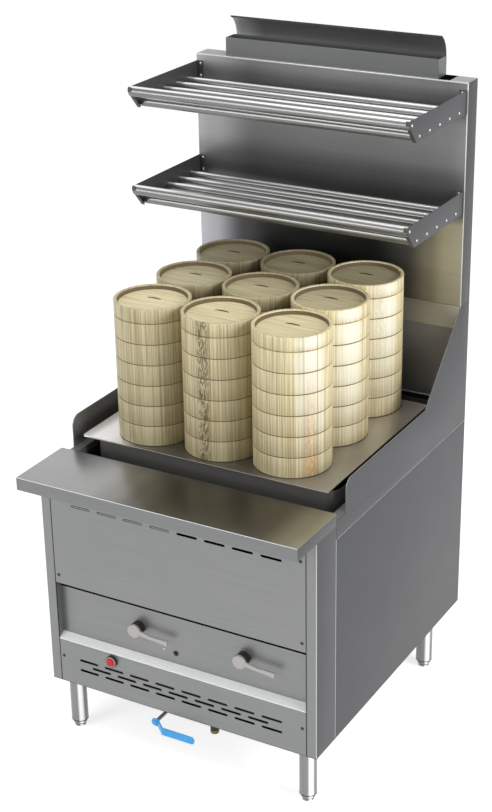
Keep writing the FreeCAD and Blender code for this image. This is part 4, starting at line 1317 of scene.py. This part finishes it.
@dataclass
class SplashBack:
    """The splash guards, the rear splash, the riser and the flue above it."""

    palette: Palette
    half: float = 381.0
    front: float = 789.5
    back: float = 846.0
    low: float = 1037.0
    top: float = 1609.5
    chute: float = 298.0
    chute_top: float = 1656.0
    guard_front: float = 98.4
    guard_foot: float = 700.0
    guard_shelf: float = 748.0
    slope_low: Pair = (586.0, 830.0)
    slope_high: Pair = (793.0, 1037.0)
    scoop: Pair = (174.0, 803.0)
    scoop_radius: float = 27.0

    def build(self) -> None:
        """Build every piece of the splash back."""
        self.guards()
        self.riser()
        self.riser_trims()
        self.deflector()
        dress(self.palette.splash, "rear_splash")
        dress(self.palette.chute, "flue_chute")
        slope = [(767.8, 984.0), (789.2, 1032.0), (789.2, 1037.0), (788.0, 1037.0), (766.6, 985.0)]
        band = outline_solid(slope, Axis.X, -379.0, 379.0)
        piece(band, "rear_splash_band", self.palette.band)
        # Painted highlight along the rear splash's hem.
        hem = block((-379.0, 379.0), (767.2, 768.0), (786.0, 790.0), 0.3)
        piece(hem, "rear_splash_hem_highlight", self.palette.bright)

    def guards(self) -> None:
        """Build the wing beside the baskets, one on each side, with a painted highlight along its
        folded edge.
        """
        curve = []
        for step in range(9):
            turn = math.radians(180.0 - 90.0 * step / 8)
            y = self.scoop[0] + self.scoop_radius * math.cos(turn)
            curve.append((y, self.scoop[1] + self.scoop_radius * math.sin(turn)))
        curve.reverse()
        wing = [(self.guard_front, self.guard_foot), (self.back, self.guard_foot)]
        wing += [(self.back, self.low), self.slope_high, self.slope_low, *curve]
        wing += [(147.0, self.guard_shelf), (self.guard_front, self.guard_shelf)]
        edge = [self.slope_high, self.slope_low, *curve, (147.0, self.guard_shelf + 2.0)]
        inner = [(y + (1.7 if i else 1.0), z - 2.0) for i, (y, z) in enumerate(edge)]
        inner.reverse()
        finishes = (self.palette.left_guard, self.palette.guard)
        for (side, sign), finish in zip(SIDES, finishes):
            x = span(self.half, self.half - SHEET, sign)
            sheet = soften(outline_solid(wing, Axis.X, *x), 0.4)
            piece(sheet, side + "_guard_sheet", finish, stands_for=(side + "_splash_guard",))
            # Painted highlight: a strip of lighter steel along the folded edge.
            x = span(self.half - 0.02, self.half - 1.8, sign)
            rim = outline_solid(edge + inner, Axis.X, *x)
            piece(rim, side + "_guard_rim_highlight", self.palette.cap)

    def riser(self) -> None:
        """Build the tall box behind the shelves, open at the top round the flue."""
        half, front, back, top = self.half, self.front, self.back, self.top
        tall, lid = (self.low, top), (top - SHEET, top)
        face = block((-half, half), (front, front + SHEET), tall, 0.6)
        piece(face, "riser_sheet", self.palette.riser, stands_for=("riser",))
        lids = [
            block((-half, half), (front, 800.0), lid, 0.5),
            block((-half, -self.chute), (799.5, back), lid, 0.5),
            block((self.chute + 21.5, half), (799.5, back), lid, 0.5),
        ]
        piece(merge(*lids), "riser_top", self.palette.cap)
        sides = [
            block(span(half, half - SHEET, sign), (front + 0.3, back), tall, 0.6)
            for _, sign in SIDES
        ]
        for x in ((-half, -self.chute - 0.5), (self.chute + 0.5, half)):
            flange = (back - SHEET - 0.1, back - 0.1)
            sides.append(block(x, flange, (top - 40.0, top), 0.4))
        piece(merge(*sides), "riser_sides", self.palette.side)

    def riser_trims(self) -> None:
        """Build the painted highlights on the riser's edges and the painted shadow in and beside
        the gap by the flue.
        """
        half, front, top, chute = self.half, self.front, self.top, self.chute
        rims = [
            block((-half + 0.5, half - 0.3), (front - 0.4, front + 1.2), (top - 3.0, top), 0.4),
            block((half - 2.4, half), (front - 0.4, front + 2.0), (self.low, top - 1.0), 0.4),
        ]
        piece(merge(*rims), "riser_highlight_edges", self.palette.bright)
        # Painted shadow: black inside the gap and over the riser top beside it.
        dark = block((chute + 0.5, chute + 21.0), (800.5, 844.0), (top - 4.0, top - 2.0))
        shade = block((chute + 0.3, chute + 32.0), (792.5, 845.5), (top - 1.0, top + 0.15))
        piece(merge(dark, shade), "riser_gap_shadow", self.palette.void)

    def deflector(self) -> None:
        """Build the sheet that curls forward over the flue."""
        rise, reach, steps = 54.0, 30.0, 18
        radius = (rise**2 + reach**2) / (2.0 * reach)
        sweep = math.asin(rise / radius)
        y, z = self.back - SHEET - radius, self.chute_top
        arcs = []
        for length in (radius, radius - SHEET):
            turns = [sweep * step / steps for step in range(steps + 1)]
            arcs.append([(y + length * math.cos(t), z + length * math.sin(t)) for t in turns])
        chute = self.chute
        sheet = outline_solid(arcs[0] + arcs[1][::-1], Axis.X, -chute + 8.0, chute - 0.5)
        piece(sheet, "flue_deflector_sheet", self.palette.curl, stands_for=("flue_deflector",))
        y, z = arcs[0][-1]
        edge = block((-chute + 8.2, chute - 0.7), (y - 1.3, y + 0.6), (z - 4.4, z - 0.1))
        piece(edge, "flue_deflector_edge", self.palette.black)
        top, lip = self.chute_top, (799.6, 801.2)
        hems = [
            block((-chute, chute), lip, (top - 1.0, top + 0.2), 0.3),
            block((chute - 1.2, chute + 0.1), lip, (self.top + 0.3, top), 0.3),
        ]
        piece(merge(*hems), "flue_chute_hem", self.palette.fold)


@dataclass
class TubeShelf:
    """One shelf of tubes between two sloping brackets."""

    palette: Palette
    name: str
    low: float
    height: float = 59.0
    riser: float = 789.5
    left: float = -380.5
    right: float = 377.5
    pitch: float = 57.3
    tube: float = 12.7

    def build(self) -> None:
        """Build the brackets, the tubes and their screws."""
        high = self.low + self.height
        self.brackets(high)
        rods = [(self.riser - 44.0 - self.pitch * n, self.low + 13.0) for n in range(5)]
        rods.append((rods[-1][0] - 42.8, high - 12.0))
        middle, length = (self.left + self.right) / 2, self.right - self.left - 3.0
        tubes = TubeRepeater(self.name + "_tube_row", self.palette.tube, self.tube, length)
        shelf = tubes.run(
            [place(middle, y, z) for y, z in rods], self.name + "_tubes",
            stands_for=(self.name + "_shelf_tubes",),
        )
        for polygon in shelf.data.polygons:
            polygon.use_smooth = len(polygon.vertices) == 4
        rivets = FastenerRepeater(self.name + "_rivets", self.palette.screw, 3.4, Axis.X)
        ends = (self.left + 1.1, self.right)
        rivets.run([place(x, y, z) for y, z in rods for x in ends], self.name + "_rivets")
        screws = FastenerRepeater(self.name + "_screws", self.palette.screw, 3.2, Axis.Y)
        spots = [(x, high - drop) for x in (-369.0, 366.0) for drop in (7.0, 38.0)]
        screws.run([place(x, self.riser - SHEET, z) for x, z in spots], self.name + "_screws")

    def brackets(self, high: float) -> None:
        """Build the two sloping brackets, each with a folded nose and a tab on the riser.

        Args:
            high: the height of their upper edge.
        """
        riser, low = self.riser, self.low
        slope = [
            (riser - 327.5, high), (riser - 330.0, high - 6.0), (riser - 328.0, high - 14.0),
            (riser - 288.5, low),
        ]
        gusset = [(riser, low), (riser, high), *slope]
        nose = slope + [
            (riser - 287.3, low + 1.0), (riser - 326.9, high - 13.4), (riser - 328.9, high - 5.8),
            (riser - 326.2, high),
        ]
        shells = []
        for edge, inward in ((self.left, 1.0), (self.right, -1.0)):
            x = span(edge, edge + SHEET * inward)
            shells.append(soften(outline_solid(gusset, Axis.X, *x), 0.4))
            x = span(edge + inward, edge + 10.0 * inward)
            shells.append(soften(outline_solid(nose, Axis.X, *x), 0.4))
            x = span(edge + inward, edge + 20.0 * inward)
            shells.append(block(x, (riser - SHEET, riser), (low, high), 0.4))
        piece(
            merge(*shells), self.name + "_brackets", self.palette.guard,
            stands_for=(self.name + "_shelf_brackets",),
        )


@dataclass
class Bath:
    """The water tank and the plate that lies on it."""

    palette: Palette
    tank_x: Pair = (-323.0, 347.0)
    tank_y: Pair = (157.0, 745.0)
    tank_corner: float = 35.0
    plate_x: Pair = (-352.0, 334.0)
    plate_y: Pair = (148.0, 712.0)
    plate_corner: float = 8.0
    low: float = 783.0
    high: float = 787.0

    def build(self) -> None:
        """Build the tank and the plate."""
        self.tank()
        self.plate()

    @staticmethod
    def rounded(x: Pair, y: Pair, radius: float, steps: int = 8, inset: float = 0.0) -> list[Pair]:
        """List the corners of a rectangle with round corners.

        Args:
            x: its left and right ends.
            y: its front and back.
            radius: the radius of its corners.
            steps: facets in each corner.
            inset: how far all of it lies inside these measures.

        Returns:
            The corners as (x, y), from the right end of the back on.
        """
        x, y, radius = (x[0] + inset, x[1] - inset), (y[0] + inset, y[1] - inset), radius - inset
        points = []
        corners = ((x[1], y[1], 0), (x[0], y[1], 90), (x[0], y[0], 180), (x[1], y[0], 270))
        for cx, cy, start in corners:
            mx = cx - radius if cx == x[1] else cx + radius
            my = cy - radius if cy == y[1] else cy + radius
            for step in range(steps + 1):
                turn = math.radians(start + 90.0 * step / steps)
                points.append((mx + radius * math.cos(turn), my + radius * math.sin(turn)))
        return points

    def tank(self) -> None:
        """Build the open tank from nested rounded outlines."""
        mesh = bmesh.new()
        loops = []
        levels = ((0.0, 562.0), (0.0, 782.4), (0.6, 783.0), (1.1, 782.6), (1.5, 562.5))
        for inset, height in levels:
            points = self.rounded(self.tank_x, self.tank_y, self.tank_corner, inset=inset)
            loops.append([mesh.verts.new(place(x, y, height)) for x, y in points])
        skin(mesh, loops)
        mesh.faces.new(loops[0])
        mesh.faces.new(loops[-1])
        bmesh.ops.recalc_face_normals(mesh, faces=mesh.faces)
        piece(mesh, "water_tank_shell", self.palette.tank, stands_for=("water_tank",))

    def plate(self) -> None:
        """Build the plate and its bright rim."""
        body, sides = "steaming_plate", (self.plate_x, self.plate_y, self.plate_corner, 5)
        sheet = outline_solid(self.rounded(*sides), Axis.Z, self.low, self.high)
        soften(sheet, 1.0, 2, 60.0)
        piece(sheet, "steaming_plate_sheet", self.palette.plate, body, (body,))
        mesh = bmesh.new()
        loops = []
        levels = ((0.02, 784.2), (0.02, 786.4), (0.6, 787.0), (1.8, 786.98), (1.8, 784.2))
        for inset, height in levels:
            points = self.rounded(*sides, inset)
            loops.append([mesh.verts.new(place(x, y, height)) for x, y in points])
        skin(mesh, loops + loops[:1])
        bmesh.ops.recalc_face_normals(mesh, faces=mesh.faces)
        piece(mesh, "steaming_plate_rim", self.palette.cap, body)


@dataclass
class BasketStack:
    """Six round tiers and their lid."""

    name: str
    x: float
    y: float
    seed: float
    streak: Streak
    # Painted light: how lit the walls and the lid are, a factor on all their colours; walls at 1.0
    # also get a painted highlight.
    wall_shade: float
    lid_shade: float
    radius: float = 95.2
    wall: float = 8.0
    tier: float = 53.33
    tiers: int = 6
    low: float = 787.0

    def turned(self, profile: list[Pair], segments: int) -> Solid:
        """Turn a profile of radii and heights round the middle of the stack."""
        return lathe(profile, (self.x, self.y, 0.0), segments=segments)

    def build(self, seam: Material, gap: Material) -> None:
        """Build the tiers, the core of painted shadow inside them, the shadow line under them and
        the lid.

        Args:
            seam: the painted shadow that shows between two tiers.
            gap: the finish of the slit in the lid and the shadow line under the stack.
        """
        spot = place(self.x, self.y, 0.0)
        wood = WoodFinish(
            self.name + "_wood", (spot.x, spot.y), self.seed, self.streak, shade=self.wall_shade,
            low=self.low, sunlit=self.wall_shade >= 1.0,
        ).build()
        top = WoodFinish(
            self.name + "_lid_wood", (spot.x, spot.y), self.seed + 0.4, flat=True,
            shade=self.lid_shade,
        ).build()
        body, r, low = self.name + "_stack", self.radius, self.low
        rings = TierRepeater(self.name + "_tiers", wood, r, self.wall, self.tier - 1.9)
        points = [place(self.x, self.y, low + self.tier * (n + 0.5)) for n in range(self.tiers)]
        stack = rings.run(points, self.name + "_tiers", body, (body,))
        for polygon in stack.data.polygons:
            polygon.use_smooth = True
        high = low + self.tier * self.tiers
        # Painted shadow: a dark solid inside the tiers that shows through the gaps between them.
        core = [
            (0.0, low), (r - 0.7, low), (r - 0.7, high - 1.0), (r - 7.0, high - 1.0),
            (r - 7.0, high - 45.0), (0.0, high - 45.0),
        ]
        piece(self.turned(core, 72), self.name + "_shadow_core", seam, body)
        # Painted contact shadow: a dark ring under the stack.
        foot = [
            (r - 6.0, low + 0.05), (r + 0.2, low + 0.05), (r + 0.2, low + 1.9),
            (r - 6.0, low + 1.9),
        ]
        piece(self.turned(foot, 96), self.name + "_foot_shadow", gap, body)
        self.lid(wood, top, seam, gap, high)

    def lid(
        self, wood: Material, top: Material, seam: Material, gap: Material, low: float
    ) -> None:
        """Build the lid: a standing rim and a sunken disc with a slit in it.

        Args:
            wood: the rim's finish.
            top: the disc's finish.
            seam: the painted shade on the lining between rim and disc.
            gap: the finish of the slit.
            low: the height of the lid's lower edge.
        """
        body, r = self.name + "_lid", self.radius
        rim = [
            (r - 0.8, low + 0.9), (r, low + 1.8), (r, low + 33.6), (r - 0.5, low + 34.6),
            (r - 1.4, low + 35.0), (r - 6.8, low + 35.0), (r - 8.0, low + 34.4),
            (r - 8.6, low + 33.0), (r - 8.6, low + 21.0), (r - 8.6, low + 0.9),
        ]
        piece(self.turned(rim, 112), self.name + "_lid_rim", wood, body, (body,), angle=50.0)
        # Painted shade on the inner wall of the rim.
        lining = [
            (r - 8.4, low + 10.0), (r - 8.4, low + 32.8), (r - 9.9, low + 32.0),
            (r - 9.9, low + 10.0),
        ]
        piece(self.turned(lining, 96), self.name + "_lid_lining_shade", seam, body)
        disc = [
            (0.0, low + 10.0), (r - 9.7, low + 10.0), (r - 9.7, low + 23.0),
            (r - 11.5, low + 24.0), (0.0, low + 24.4),
        ]
        piece(self.turned(disc, 96), self.name + "_lid_disc", top, body)
        rear, front, y = [], [], self.y + 18.0
        for step in range(13):
            share = step / 12.0
            bow = math.sin(math.pi * share)
            x = self.x - 26.0 + 38.0 * share
            rear.append((x, y + 0.8 + 4.2 * bow))
            front.append((x, y - 1.6 + 0.4 * bow))
        slit = outline_solid(rear + front[::-1], Axis.Z, low + 23.0, low + 24.75)
        piece(slit, self.name + "_lid_slit", gap, body)


@dataclass
class Controls:
    """The valve handles, the lamp and the push button."""

    palette: Palette
    valves: Pair = (-122.0, 176.0)
    valve_level: float = 367.0
    lamp_spot: Triple = (-17.0, 20.0, 321.0)
    pin_spot: Triple = (-51.6, 20.0, 323.0)
    button_spot: Triple = (-195.0, 0.0, 257.0)

    def build(self) -> None:
        """Build every control."""
        for (side, _), x in zip(SIDES, self.valves):
            self.handle(side, x)
        self.lamp()
        self.button()

    def handle(self, side: str, x: float) -> None:
        """Build one quarter-turn handle: hub, arm and the black boss behind it.

        Args:
            side: left or right.
            x: the axis of the valve.
        """
        z, body = self.valve_level, side + "_valve_handle"
        spot = (x, 0.0, z)
        hub = [(0.0, 0.0), (17.2, 0.0), (18.4, -1.2), (18.4, -5.8), (17.0, -7.6), (0.0, -8.0)]
        turned = lathe(hub, spot, Axis.Y, 40)
        piece(turned, side + "_handle_hub", self.palette.handle, body, (body,))
        arm = [
            (x + 6, z - 8), (x + 48, z - 11.4), (x + 82, z - 14.5), (x + 92, z - 17),
            (x + 95.8, z - 13.6), (x + 95.8, z - 4.2), (x + 92, z - 2.4), (x + 48, z - 2),
            (x + 12, z + 6), (x + 6, z + 8),
        ]
        blade = soften(outline_solid(arm, Axis.Y, -6.2, -1.2), 1.5, 3)
        piece(blade, side + "_handle_arm", self.palette.handle, body)
        collar = lathe([(7.2, 1.2), (17.2, 1.2), (17.2, 19.8), (7.2, 19.8)], spot, Axis.Y, 40)
        piece(collar, side + "_valve_collar", self.palette.black)

    def lamp(self) -> None:
        """Build the lamp: a domed lens in a thin bezel, and the pin beside it."""
        dome = [(0.0, -4.0), (4.2, -3.4), (6.4, -2.0), (7.2, -0.4), (0.0, -0.2)]
        lens = lathe(dome, self.lamp_spot, Axis.Y, 32)
        piece(lens, "lamp_dome", self.palette.lamp, stands_for=("indicator_lamp",))
        bezel = [(7.3, -0.9), (8.3, -0.7), (8.3, 0.0), (7.3, 0.0)]
        piece(lathe(bezel, self.lamp_spot, Axis.Y, 32), "lamp_ring", self.palette.front)
        pin = FastenerRepeater("panel_pin", self.palette.screw, 2.4, Axis.Y)
        pin.run([place(*self.pin_spot)], "panel_pin")

    def button(self) -> None:
        """Build the push button and its bezel."""
        cap = [(0.0, 4.0), (10.9, 4.0), (10.9, -9.2), (10.0, -10.6), (8.0, -11.0), (0.0, -10.6)]
        barrel = [(11.3, -6.8), (15.4, -6.8), (15.4, 0.0), (13.9, 0.0), (13.9, 15.9), (11.3, 15.9)]
        ring = [
            (11.3, -7.4), (11.9, -8.0), (12.9, -8.0), (13.4, -7.3), (13.4, -6.6), (11.3, -6.6),
        ]
        body, spot, palette = "push_button", self.button_spot, self.palette
        piece(lathe(cap, spot, Axis.Y, 44), "button_cap", palette.red, body, (body,))
        solid = lathe(barrel, spot, Axis.Y, 44)
        piece(solid, "button_barrel", palette.black, stands_for=("button_bezel",))
        piece(lathe(ring, spot, Axis.Y, 44), "button_ring", palette.silver)


@dataclass
class Plumbing:
    """What hangs below the cabinet: the drain lever and the inlet."""

    palette: Palette
    lever: Triple = (-70.0, 0.0, 118.0)
    inlet: Triple = (76.0, 40.0, 0.0)

    def build(self) -> None:
        """Build the lever and the inlet, and dress the fittings."""
        self.drain_lever()
        self.inlet_pipe()
        dress(self.palette.brass, "drain_valve", "left_gas_valve", "right_gas_valve")
        dress(self.palette.iron, "gas_manifold", "burners", "inlet_fitting")

    def drain_lever(self) -> None:
        """Build the coated lever with its nut and stem."""
        x, _, z = self.lever
        body = "drain_lever"
        strap = [
            (x - 11.0, -6.0), (x + 6.8, -6.0), (x + 34.8, -32.0), (x + 129.0, -32.0),
            (x + 129.0, -29.0), (x + 36.5, -29.0), (x + 8.5, -3.0), (x - 11.0, -3.0),
        ]
        mesh = outline_solid(strap, Axis.Z, z - 10.5, z + 10.5)
        corners = [
            e for e in mesh.edges
            if abs(e.verts[0].co.y - e.verts[1].co.y) > 0.002
            and abs(e.verts[0].co.x - e.verts[1].co.x) < 0.0001
            and abs(e.verts[0].co.z - e.verts[1].co.z) < 0.0001
        ]
        bmesh.ops.bevel(
            mesh, geom=corners, offset=9.8 * MM, segments=8, profile=0.5, affect="EDGES"
        )
        soften(mesh, 0.7, 2, 40.0)
        piece(mesh, "drain_lever_grip", self.palette.lever, body, (body,))
        nut = [(0.0, -8.0), (6.4, -8.0), (7.4, -7.0), (7.4, -2.8), (0.0, -2.8)]
        hub = soften(lathe(nut, self.lever, Axis.Y, 6), 0.4)
        piece(hub, "drain_lever_nut", self.palette.lever, body)
        stem = [(0.0, -3.0), (4.8, -3.0), (4.8, 179.8), (0.0, 179.8)]
        piece(lathe(stem, self.lever, Axis.Y, 28), "drain_lever_stem", self.palette.cap, body)

    def inlet_pipe(self) -> None:
        """Build the threaded nipple of the inlet and its lip."""
        nipple = [
            (0.0, 111.5), (5.0, 110.0), (8.6, 111.0), (10.8, 114.0), (10.8, 124.0),
            (9.6, 125.5), (9.6, 131.0), (10.8, 132.5), (10.8, 154.0), (0.0, 154.0),
        ]
        piece(lathe(nipple, self.inlet, segments=36), "inlet_nipple", self.palette.iron)
        lip = [(8.9, 111.6), (11.2, 113.6), (11.2, 117.0), (8.9, 117.0)]
        piece(lathe(lip, self.inlet, segments=36), "inlet_lip", self.palette.brass)


@dataclass
class Legs:
    """The four leg tubes and their adjustable feet."""

    palette: Palette
    half: float = 336.5
    front: float = 42.0
    rear: float = 725.0

    def build(self) -> None:
        """Build the legs."""
        tubes, lines = [], []
        tube = [
            (12.6, 20.0), (20.6, 20.0), (21.9, 21.4), (21.9, 149.0), (21.9, 153.8), (12.6, 153.8),
        ]
        foot = [
            (0.0, 0.0), (12.5, 0.0), (14.6, 1.2), (14.8, 7.0), (12.6, 8.2), (12.6, 9.4),
            (17.0, 10.0), (17.8, 11.2), (17.8, 18.6), (17.0, 19.6), (0.0, 19.9),
        ]
        stud = [(0.0, 19.0), (7.6, 19.0), (7.6, 55.5), (0.0, 55.5)]
        # Painted shadow rings where the leg tube meets its foot.
        line = [(20.0, 19.95), (22.05, 19.95), (22.05, 21.9), (20.0, 21.9)]
        for end, y in (("front", self.front), ("rear", self.rear)):
            for side, sign in SIDES:
                spot, name = (sign * self.half, y, 0.0), "%s_%s_foot" % (end, side)
                tubes.append(lathe(tube, spot, segments=48))
                solid = lathe(foot, spot, segments=40)
                piece(solid, name + "_turned", self.palette.leg, name, (name,))
                solid = lathe(stud, spot, segments=20)
                piece(solid, name + "_stud", self.palette.screw, name)
        for _, sign in SIDES:
            for y in (self.front, self.rear):
                lines.append(lathe(line, (sign * self.half, y, 0.0), segments=48))
        piece(merge(*tubes), "leg_tubes_turned", self.palette.leg, stands_for=("leg_tubes",))
        piece(merge(*lines), "leg_end_shadow_rings", self.palette.void)


@dataclass
class Studio:
    """The floor, the light and the camera; angles are in degrees, the focal length in pixels."""

    fill: float = 0.33
    glow: float = 0.70
    yaw: float = 30.01
    pitch: float = 23.97
    roll: float = -1.02
    stand: Triple = (1952.0, -3025.0, 2591.0)
    film: float = 36.0
    focal: float = 1726.5
    picture: float = 812.0

    def build(self) -> None:
        """Build the studio."""
        self.world()
        self.floor()
        self.lamp("top_softbox", (0.0, -0.4, 4.4), (0.0, 0.1, 0.9), 3.0, 50.0)
        self.lamp("right_softbox", (4.3, -0.5, 2.4), (0.0, 0.0, 0.9), 2.0, 125.0)
        self.lamp("front_softbox", (-2.2, -4.3, 2.2), (0.0, 0.0, 0.9), 2.2, 70.0)
        self.camera()

    def world(self) -> None:
        """Light the scene evenly and show white to camera and mirror rays."""
        world = bpy.data.worlds.new("studio")
        bpy.context.scene.world = world
        world.use_nodes = True
        graph = NodeGraph(world.node_tree)
        graph.tree.nodes.clear()
        output = graph.add("ShaderNodeOutputWorld")
        sky = graph.add("ShaderNodeBackground", {"Color": (*WHITE, 1.0)})
        strength = graph.spread(graph.seen_ray(), 0.0, 1.0, self.fill, 1.0)
        graph.join(strength, sky.inputs["Strength"])
        graph.join(sky.outputs["Background"], output.inputs["Surface"])

    def floor(self) -> None:
        """Lay a pale floor that keeps a soft shadow."""
        mesh = bmesh.new()
        bmesh.ops.create_grid(mesh, x_segments=1, y_segments=1, size=14.0)
        data = bpy.data.meshes.new("studio_floor")
        mesh.to_mesh(data)
        mesh.free()
        shader = Shader("studio_floor")
        shader.set(
            Base_Color=(0.9, 0.9, 0.9, 1.0), Roughness=0.9, Specular_IOR_Level=0.0,
            Emission_Color=(*WHITE, 1.0),
        )
        strength = shader.spread(shader.seen_ray(), 0.0, 1.0, 0.0, self.glow)
        shader.join(strength, shader.surface.inputs["Emission Strength"])
        data.materials.append(shader.material)
        thing = bpy.data.objects.new("studio_floor", data)
        bpy.context.scene.collection.objects.link(thing)

    @staticmethod
    def lamp(name: str, spot: Triple, aim: Triple, size: float, power: float) -> None:
        """Hang a soft square lamp.

        Args:
            name: the lamp's name.
            spot: its place in metres.
            aim: the point it faces.
            size: its edge length in metres.
            power: its power in watts.
        """
        data = bpy.data.lights.new(name, "AREA")
        data.size = size
        data.energy = power
        thing = bpy.data.objects.new(name, data)
        bpy.context.scene.collection.objects.link(thing)
        thing.location = spot
        thing.rotation_euler = (Vector(aim) - Vector(spot)).to_track_quat("-Z", "Y").to_euler()

    def camera(self) -> None:
        """Set the camera where the photograph was taken from."""
        yaw, pitch, roll = (math.radians(a) for a in (self.yaw, self.pitch, self.roll))
        level = math.cos(pitch)
        look = Vector((-math.sin(yaw) * level, math.cos(yaw) * level, -math.sin(pitch)))
        right = Vector((math.cos(yaw), math.sin(yaw), 0.0))
        up = right.cross(look)
        right_turned = math.cos(roll) * right + math.sin(roll) * up
        up_turned = -math.sin(roll) * right + math.cos(roll) * up
        data = bpy.data.cameras.new("photo_camera")
        data.sensor_width = self.film
        data.lens = self.film * self.focal / self.picture
        data.clip_end = 60.0
        thing = bpy.data.objects.new("photo_camera", data)
        bpy.context.scene.collection.objects.link(thing)
        turn = Matrix((right_turned, up_turned, -look)).transposed().to_4x4()
        thing.matrix_world = Matrix.Translation(place(*self.stand)) @ turn
        bpy.context.scene.camera = thing


def stacks() -> list[BasketStack]:
    """List the nine stacks, front row first, each row from left to right.

    Returns:
        The stacks.
    """
    streaks = {
        "front_centre": Streak(272.0, 1.0, (0.21, 0.145, 0.065)),
        "front_right": Streak(325.0, 1.0, (0.56, 0.31, 0.11), 1100.0),
        "middle_right": Streak(285.0, 0.25, (0.55, 0.34, 0.14)),
        "rear_right": Streak(318.0, 0.25, (0.62, 0.42, 0.20)),
    }
    # Painted light: per row, each column's wall level and the lid level; stacks further back and to
    # the left darker, the right column lit.
    rows = (
        ("front", (0.80, 0.86, 1.0), 1.0),
        ("middle", (0.62, 0.66, 1.0), 0.74),
        ("rear", (0.5, 0.5, 1.0), 0.54),
    )
    found = []
    for row, (end, shades, lid_shade) in enumerate(rows):
        for column, side in enumerate(("left", "centre", "right")):
            name = "%s_%s" % (end, side)
            x, y = -8.0 + 191.0 * (column - 1), 451.5 + 194.5 * (row - 1)
            seed, streak = 0.37 * (row * 3 + column), streaks.get(name, Streak())
            found.append(BasketStack(name, x, y, seed, streak, shades[column], lid_shade))
    return found


def main() -> None:
    """Build the whole scene."""
    logging.basicConfig(level=logging.INFO, format="%(name)s: %(message)s")
    bpy.context.scene.view_settings.view_transform = "Standard"
    palette = Palette()
    Cabinet(palette).build()
    SplashBack(palette).build()
    TubeShelf(palette, "lower", 1281.0).build()
    TubeShelf(palette, "upper", 1532.0).build()
    Bath(palette).build()
    # Painted shadow: the dark between tiers and inside the lid rims, and under the stacks; the lid
    # slits share the second.
    seam = CoatFinish("tier_shadow", (0.16, 0.12, 0.07), 0.8).build()
    gap = CoatFinish("shadow_gap", (0.030, 0.022, 0.012), 0.8).build()
    for stack in stacks():
        stack.build(seam, gap)
    Controls(palette).build()
    Plumbing(palette).build()
    Legs(palette).build()
    Studio().build()


if __name__ == "__main__":
    main()
